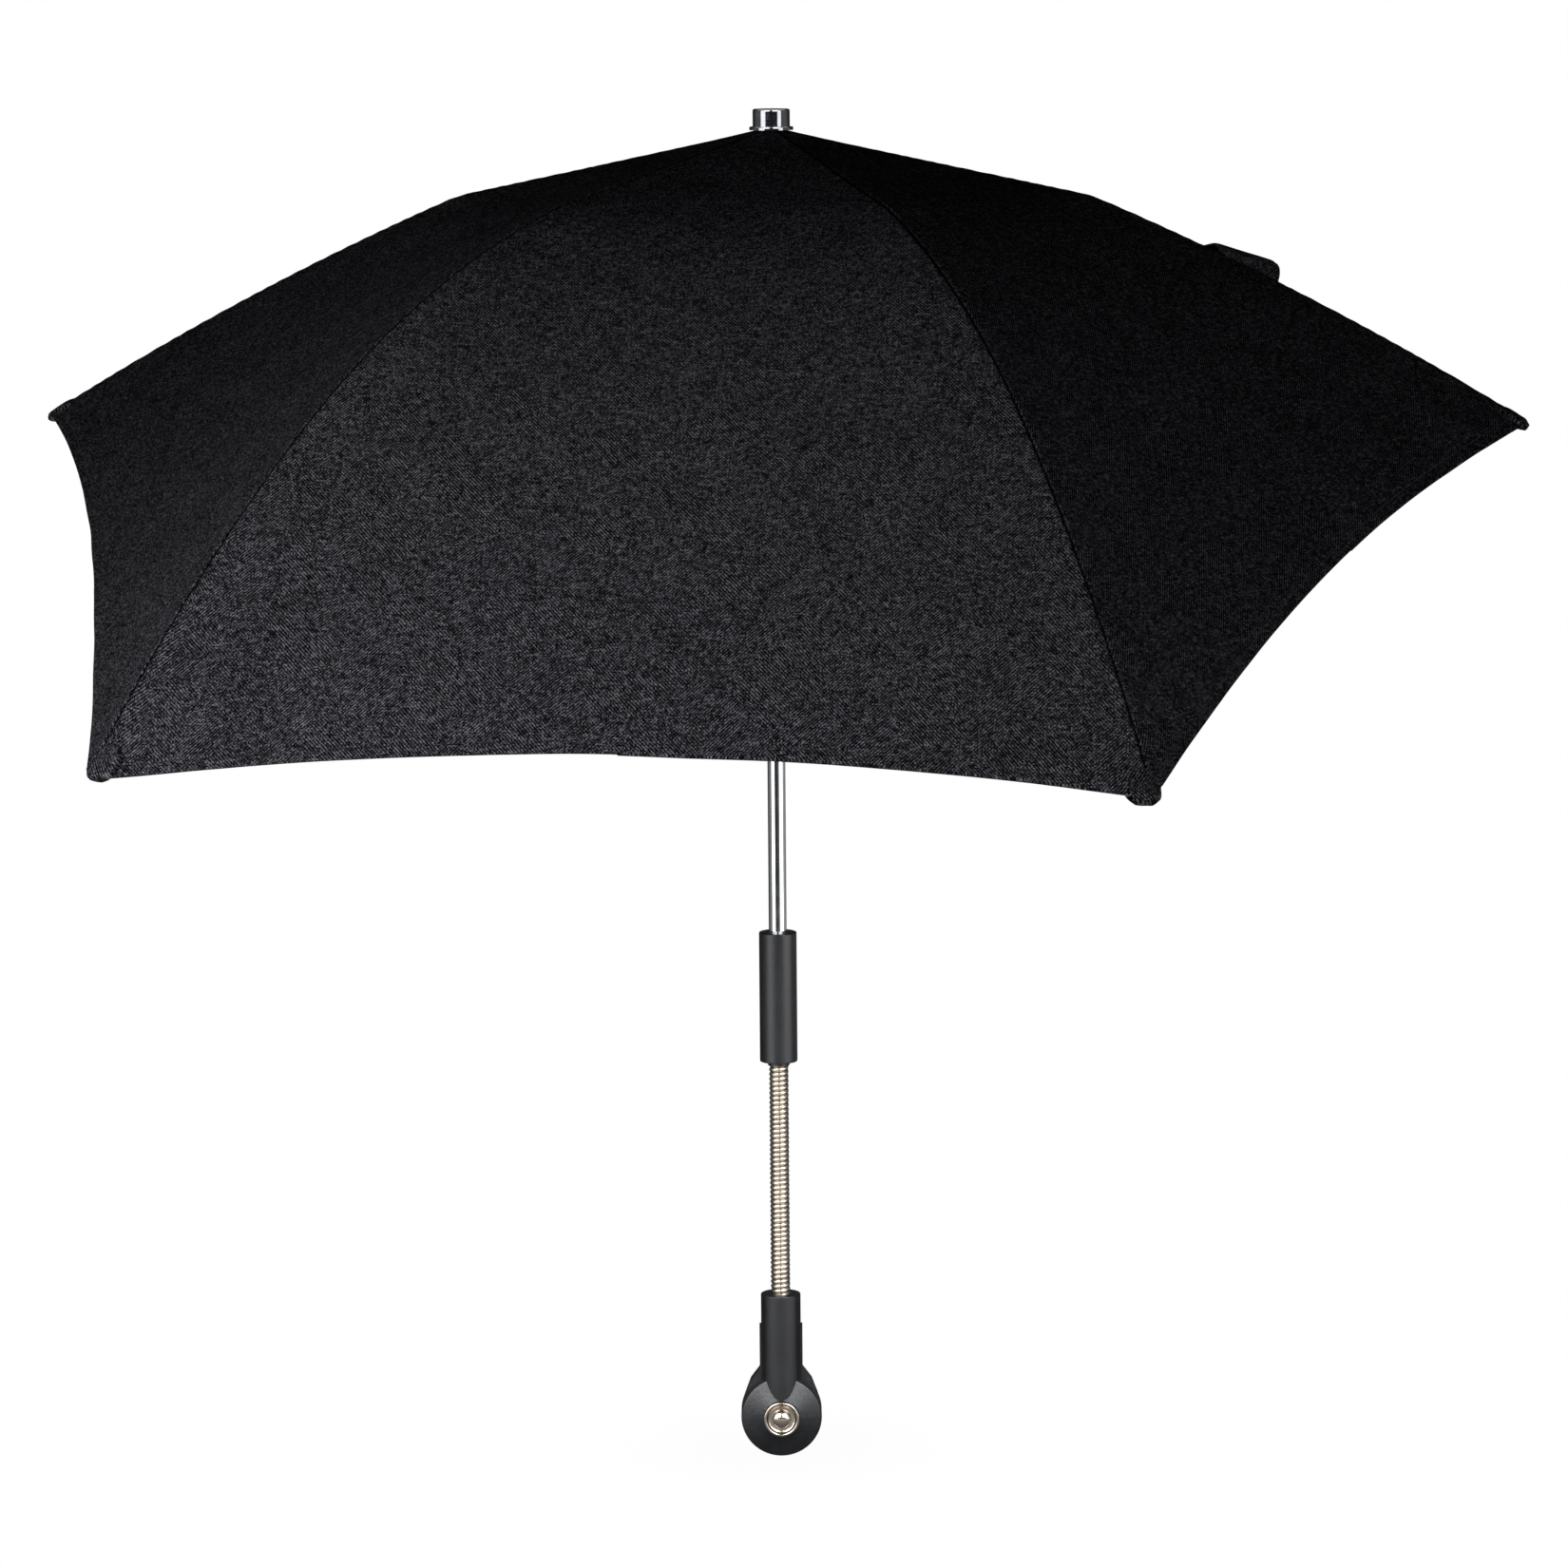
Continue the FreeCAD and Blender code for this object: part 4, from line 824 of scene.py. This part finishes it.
# Closing strap
# A doubled tab of the same cloth beside the right rib's seam, which wraps the folded canopy.
# One edge is sewn down, and it stands up beyond that where it was creased, most at its outer end.
STRAP_SIZE = (0.036, 0.062)
STRAP_STATIONS = (2.525, 2.81)
STRAP_SHARES = (0.01, 0.62)
STRAP_THICK = 0.0017
STRAP_ABOVE = 0.0004
STRAP_LIFT = 0.0068
STRAP_LEAN = 0.012
STRAP_UNEVEN = 0.0003
STRAP_PATTERN_START = 5.0


def strap(name, material):
    """The tab, a grid laid on the gore and raised from it, thickened and rounded at its rim."""
    bm = bmesh.new()
    pattern = bm.verts.layers.float_vector.new("pattern")
    bmesh.ops.create_grid(bm, x_segments=20, y_segments=26, size=1.0)
    verts = bm.verts[:]
    grid = np.array([vert.co[:2] for vert in verts])
    flat = (grid + 1) / 2
    outwards, back = flat.T
    round_end = np.sqrt(1 - np.abs(grid[:, 0]) ** 5 * 0.28 * eased(back * 4 - 3))
    stands = (0.28 + 0.72 * outwards) * eased(back / 0.2) * eased((0.55 - back) / 0.3)
    stations = STRAP_STATIONS[0] + (STRAP_STATIONS[1] - STRAP_STATIONS[0]) * outwards
    stations = stations - STRAP_LEAN * stands
    shares = STRAP_SHARES[0] + (STRAP_SHARES[1] - STRAP_SHARES[0]) * back ** 1.5 * round_end
    points = on_gore(0, 1, shares, stations)[0]
    normal = gore_normal(0, 1, shares, stations)
    lift = STRAP_ABOVE + STRAP_THICK * (1.6 * eased(back / 0.1) - 0.6)
    lift = lift + STRAP_LIFT * stands * (1 - 0.16 * eased((outwards - 0.86) / 0.14))
    lift = lift + wander(points, 60.0, 2) * STRAP_UNEVEN
    points = points + normal * lift[:, None]
    for vert, point, place in zip(verts, points, flat):
        vert.co = point
        across, length = place * STRAP_SIZE
        vert[pattern] = (across + STRAP_PATTERN_START, length, 0.0)
    bm.normal_update()
    if sum(face.normal.z for face in bm.faces) < 0:
        bmesh.ops.reverse_faces(bm, faces=bm.faces)
    bmesh.ops.solidify(bm, geom=bm.verts[:] + bm.edges[:] + bm.faces[:], thickness=STRAP_THICK)
    bm.normal_update()
    rim = [edge for edge in bm.edges if edge.calc_face_angle(0.0) > math.radians(50)]
    bmesh.ops.bevel(bm, geom=rim, offset=STRAP_THICK * 0.42, offset_type="OFFSET", affect="EDGES",
                    segments=3, profile=0.5, material=-1)
    return made_with_pattern(name, bm, material)


closing_strap = strap("strap_tab", cloth)
fold_with(closing_strap, halves["right", "back"])
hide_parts("closing_strap")

# Cap and its flange
# Turned brass, plated in dark chrome and polished, screwed down on the stud to clamp the cloth.
dress(plated("dark_chrome", "78797d", "96989c", 0.07, (0.02, 0.02, 1.0)), "top_cap", "cap_flange")

# Studio
# A pale floor that shows only by the foot, where it keeps the shadow, in a white surround. Three
# soft lamps stand in front and two behind, and bright walls are there for shiny things to mirror.
AIM_HEIGHT = 0.42
FLOOR_REACH = 1.6
FLOOR_BELOW = 0.0004
SHADOW_REACH = (0.03, 0.09)
WALL_REACH = 3.4
WALL_FOOT = -1.2
WALL_HEIGHT = 4.6
AMBIENT = 0.016
WHITE = (1.0, 1.0, 1.0, 1.0)
FLOOR_GREY = (0.86, 0.86, 0.86, 1.0)


def lamp(name, azimuth, distance, height, width, tall, power):
    """A soft rectangular lamp aimed at the canopy's middle, kept out of reflections and view."""
    turn = math.radians(azimuth)
    light = bpy.data.lights.new(name, "AREA")
    light.shape = "RECTANGLE"
    light.size = width
    light.size_y = tall
    light.energy = power
    holder = bpy.data.objects.new(name, light)
    holder.location = (math.sin(turn) * distance, POLE_Y - math.cos(turn) * distance, height)
    aim = Vector((0, POLE_Y, AIM_HEIGHT)) - holder.location
    holder.rotation_euler = aim.to_track_quat("-Z", "Y").to_euler()
    holder.visible_glossy = False
    holder.visible_camera = False
    bpy.context.scene.collection.objects.link(holder)


lamp("key_lamp", -30.0, 0.75, 0.5, 0.5, 0.3, 1.95)
lamp("front_lamp", -8.0, 1.2, 0.53, 0.5, 0.3, 1.7)
lamp("fill_lamp", 30.0, 1.2, 0.2, 0.5, 0.3, 1.4)
lamp("back_lamp_left", -160.0, 2.6, 0.55, 1.2, 0.5, 40.0)
lamp("back_lamp_right", 140.0, 2.6, 0.55, 1.2, 0.5, 40.0)

bm = bmesh.new()
bmesh.ops.create_circle(bm, segments=96, radius=FLOOR_REACH, cap_ends=True)
bmesh.ops.translate(bm, verts=bm.verts, vec=(0, POLE_Y, cad_low.z - FLOOR_BELOW))
floor_paint, place = new_finish("floor_paint")
seen = place.node("LightPath", {}, {}, output="Is Camera Ray")
mirrored = place.node("LightPath", {}, {}, output="Is Glossy Ray")
far = place.node("VectorMath", {"operation": "LENGTH"}, {0: place}, output=1)
in_front = POLE_Y - place.node("SeparateXYZ", {}, {0: place}, output=1)
matt = place.node("BsdfDiffuse", {}, {"Color": FLOOR_GREY})
white = place.node("Emission", {}, {"Color": WHITE, "Strength": 1.0})
# Painted reflection: in shiny parts the floor glows, dimmed near the foot as a painted shadow and
# dimmer behind the pole.
painted_floor_reflection = (far.between(0.03, 0.3) * 0.7 + 0.2) * in_front.between(-0.03, 0.06) + 0.05
glow = place.node("Emission", {}, {"Color": WHITE, "Strength": painted_floor_reflection})
pale = place.node("MixShader", {}, {0: seen * 0.97, 1: matt, 2: white})
lit = place.node("MixShader", {}, {0: mirrored, 1: pale, 2: glow})
clear = place.node("BsdfTransparent", {}, {})
from_below = place.node("NewGeometry", {}, {}, output="Backfacing")
beyond = place.sum("MAXIMUM", far.between(*SHADOW_REACH), from_below)
unseen = place.sum("MAXIMUM", far.between(0.5, FLOOR_REACH * 0.98), seen * beyond)
place.node("OutputMaterial", {}, {"Surface": place.node(
    "MixShader", {}, {0: unseen, 1: lit, 2: clear})})
floor = made("floor", bm, floor_paint)
floor.visible_shadow = False


def shone(name, bm, pattern):
    """A stage surface that glows as its pattern says, and that only reflections show."""
    paint, place = new_finish(name + "_glow")
    place.node("OutputMaterial", {}, {"Surface": place.node(
        "Emission", {}, {"Color": WHITE, "Strength": pattern(place)})})
    surface = made(name, bm, paint)
    surface.visible_camera = False
    surface.visible_diffuse = False
    surface.visible_shadow = False
    surface.visible_transmission = False


def walls_glow(place):
    """Bright upright panels on dim walls, by the angle round the pole and the height."""
    sideways = place.node("SeparateXYZ", {}, {0: place})
    towards = place.node("SeparateXYZ", {}, {0: place}, output=1)
    upward = place.node("SeparateXYZ", {}, {0: place}, output=2)
    degrees = place.sum("ARCTAN2", sideways, POLE_Y - towards) * (180 / math.pi)
    aside = place.sum("ABSOLUTE", degrees, 0.0)
    low = 1 - upward.between(0.1, 0.35)

    def panel(middle, full, faded, way=degrees):
        return 1 - place.sum("ABSOLUTE", way - middle, 0.0).between(full, faded)

    low_panels = panel(-48.0, 16.0, 22.0) * 3.5 + panel(58.0, 18.0, 28.0) * 3.0
    high_panels = panel(-52.0, 12.0, 18.0) * 3.5 + panel(51.0, 9.0, 14.0) * 3.5
    crests = panel(26.0, 12.0, 18.0, aside) * upward.between(0.7, 1.0) * 13.0
    side_walls = panel(90.0, 12.0, 40.0, aside) * 0.2
    spill = degrees.between(6.0, 40.0) * low * 0.2
    return 0.045 + low * low_panels + (1 - low) * high_panels + crests + side_walls + spill


bm = bmesh.new()
ring = bmesh.ops.create_circle(bm, segments=120, radius=WALL_REACH)["verts"]
bmesh.ops.translate(bm, verts=ring, vec=(0, POLE_Y, WALL_FOOT))
raised = bmesh.ops.extrude_edge_only(bm, edges=bm.edges[:])["geom"]
bmesh.ops.translate(bm, verts=[item for item in raised if isinstance(item, bmesh.types.BMVert)],
                    vec=(0, 0, WALL_HEIGHT))
shone("studio_walls", bm, walls_glow)

surround = bpy.data.worlds.new("surround")
bpy.context.scene.world = surround
surround.use_nodes = True
surround.node_tree.nodes.clear()
rays = Wire(surround.node_tree.nodes.new("ShaderNodeLightPath").outputs["Is Camera Ray"])
glossy = Wire(rays.socket.node.outputs["Is Glossy Ray"])
through = Wire(rays.socket.node.outputs["Is Transmission Ray"])
dim = rays.node("Background", {}, {"Color": WHITE, "Strength": AMBIENT})
bright = rays.node("Background", {}, {"Color": WHITE, "Strength": 1.0})
seen = rays.sum("MAXIMUM", rays.sum("MAXIMUM", rays, glossy), through)
rays.node("OutputWorld", {}, {"Surface": rays.node("MixShader", {}, {0: seen, 1: dim, 2: bright})})

CAMERA_AZIMUTH = math.radians(0.03)
CAMERA_YAW = math.radians(-0.071)
CAMERA_PITCH = math.radians(7.907)
CAMERA_ROLL = math.radians(-0.454)
CAMERA_DISTANCE = 2.8458
CAMERA_HEIGHT = 0.7005
PHOTO_WIDTH = 1650
FOCAL_PIXELS = 6387.9
SENSOR_WIDTH = 36.0
heading = CAMERA_AZIMUTH + CAMERA_YAW
ahead = Vector((-math.sin(heading), math.cos(heading), 0))
right = Vector((math.cos(heading), math.sin(heading), 0))
look = ahead * math.cos(CAMERA_PITCH) - Vector((0, 0, math.sin(CAMERA_PITCH)))
upward = Vector((0, 0, math.cos(CAMERA_PITCH))) + ahead * math.sin(CAMERA_PITCH)
side_way = right * math.cos(CAMERA_ROLL) + upward * math.sin(CAMERA_ROLL)
top_way = upward * math.cos(CAMERA_ROLL) - right * math.sin(CAMERA_ROLL)
view = bpy.data.cameras.new("camera")
view.lens = FOCAL_PIXELS / PHOTO_WIDTH * SENSOR_WIDTH
view.sensor_width = SENSOR_WIDTH
view.clip_end = 100.0
camera = bpy.data.objects.new("camera", view)
camera.matrix_world = Matrix.Translation((
    CAMERA_DISTANCE * math.sin(CAMERA_AZIMUTH),
    POLE_Y - CAMERA_DISTANCE * math.cos(CAMERA_AZIMUTH),
    CAMERA_HEIGHT)) @ Matrix((side_way, top_way, -look)).transposed().to_4x4()
bpy.context.scene.collection.objects.link(camera)
bpy.context.scene.camera = camera
bpy.context.scene.view_settings.view_transform = "Standard"
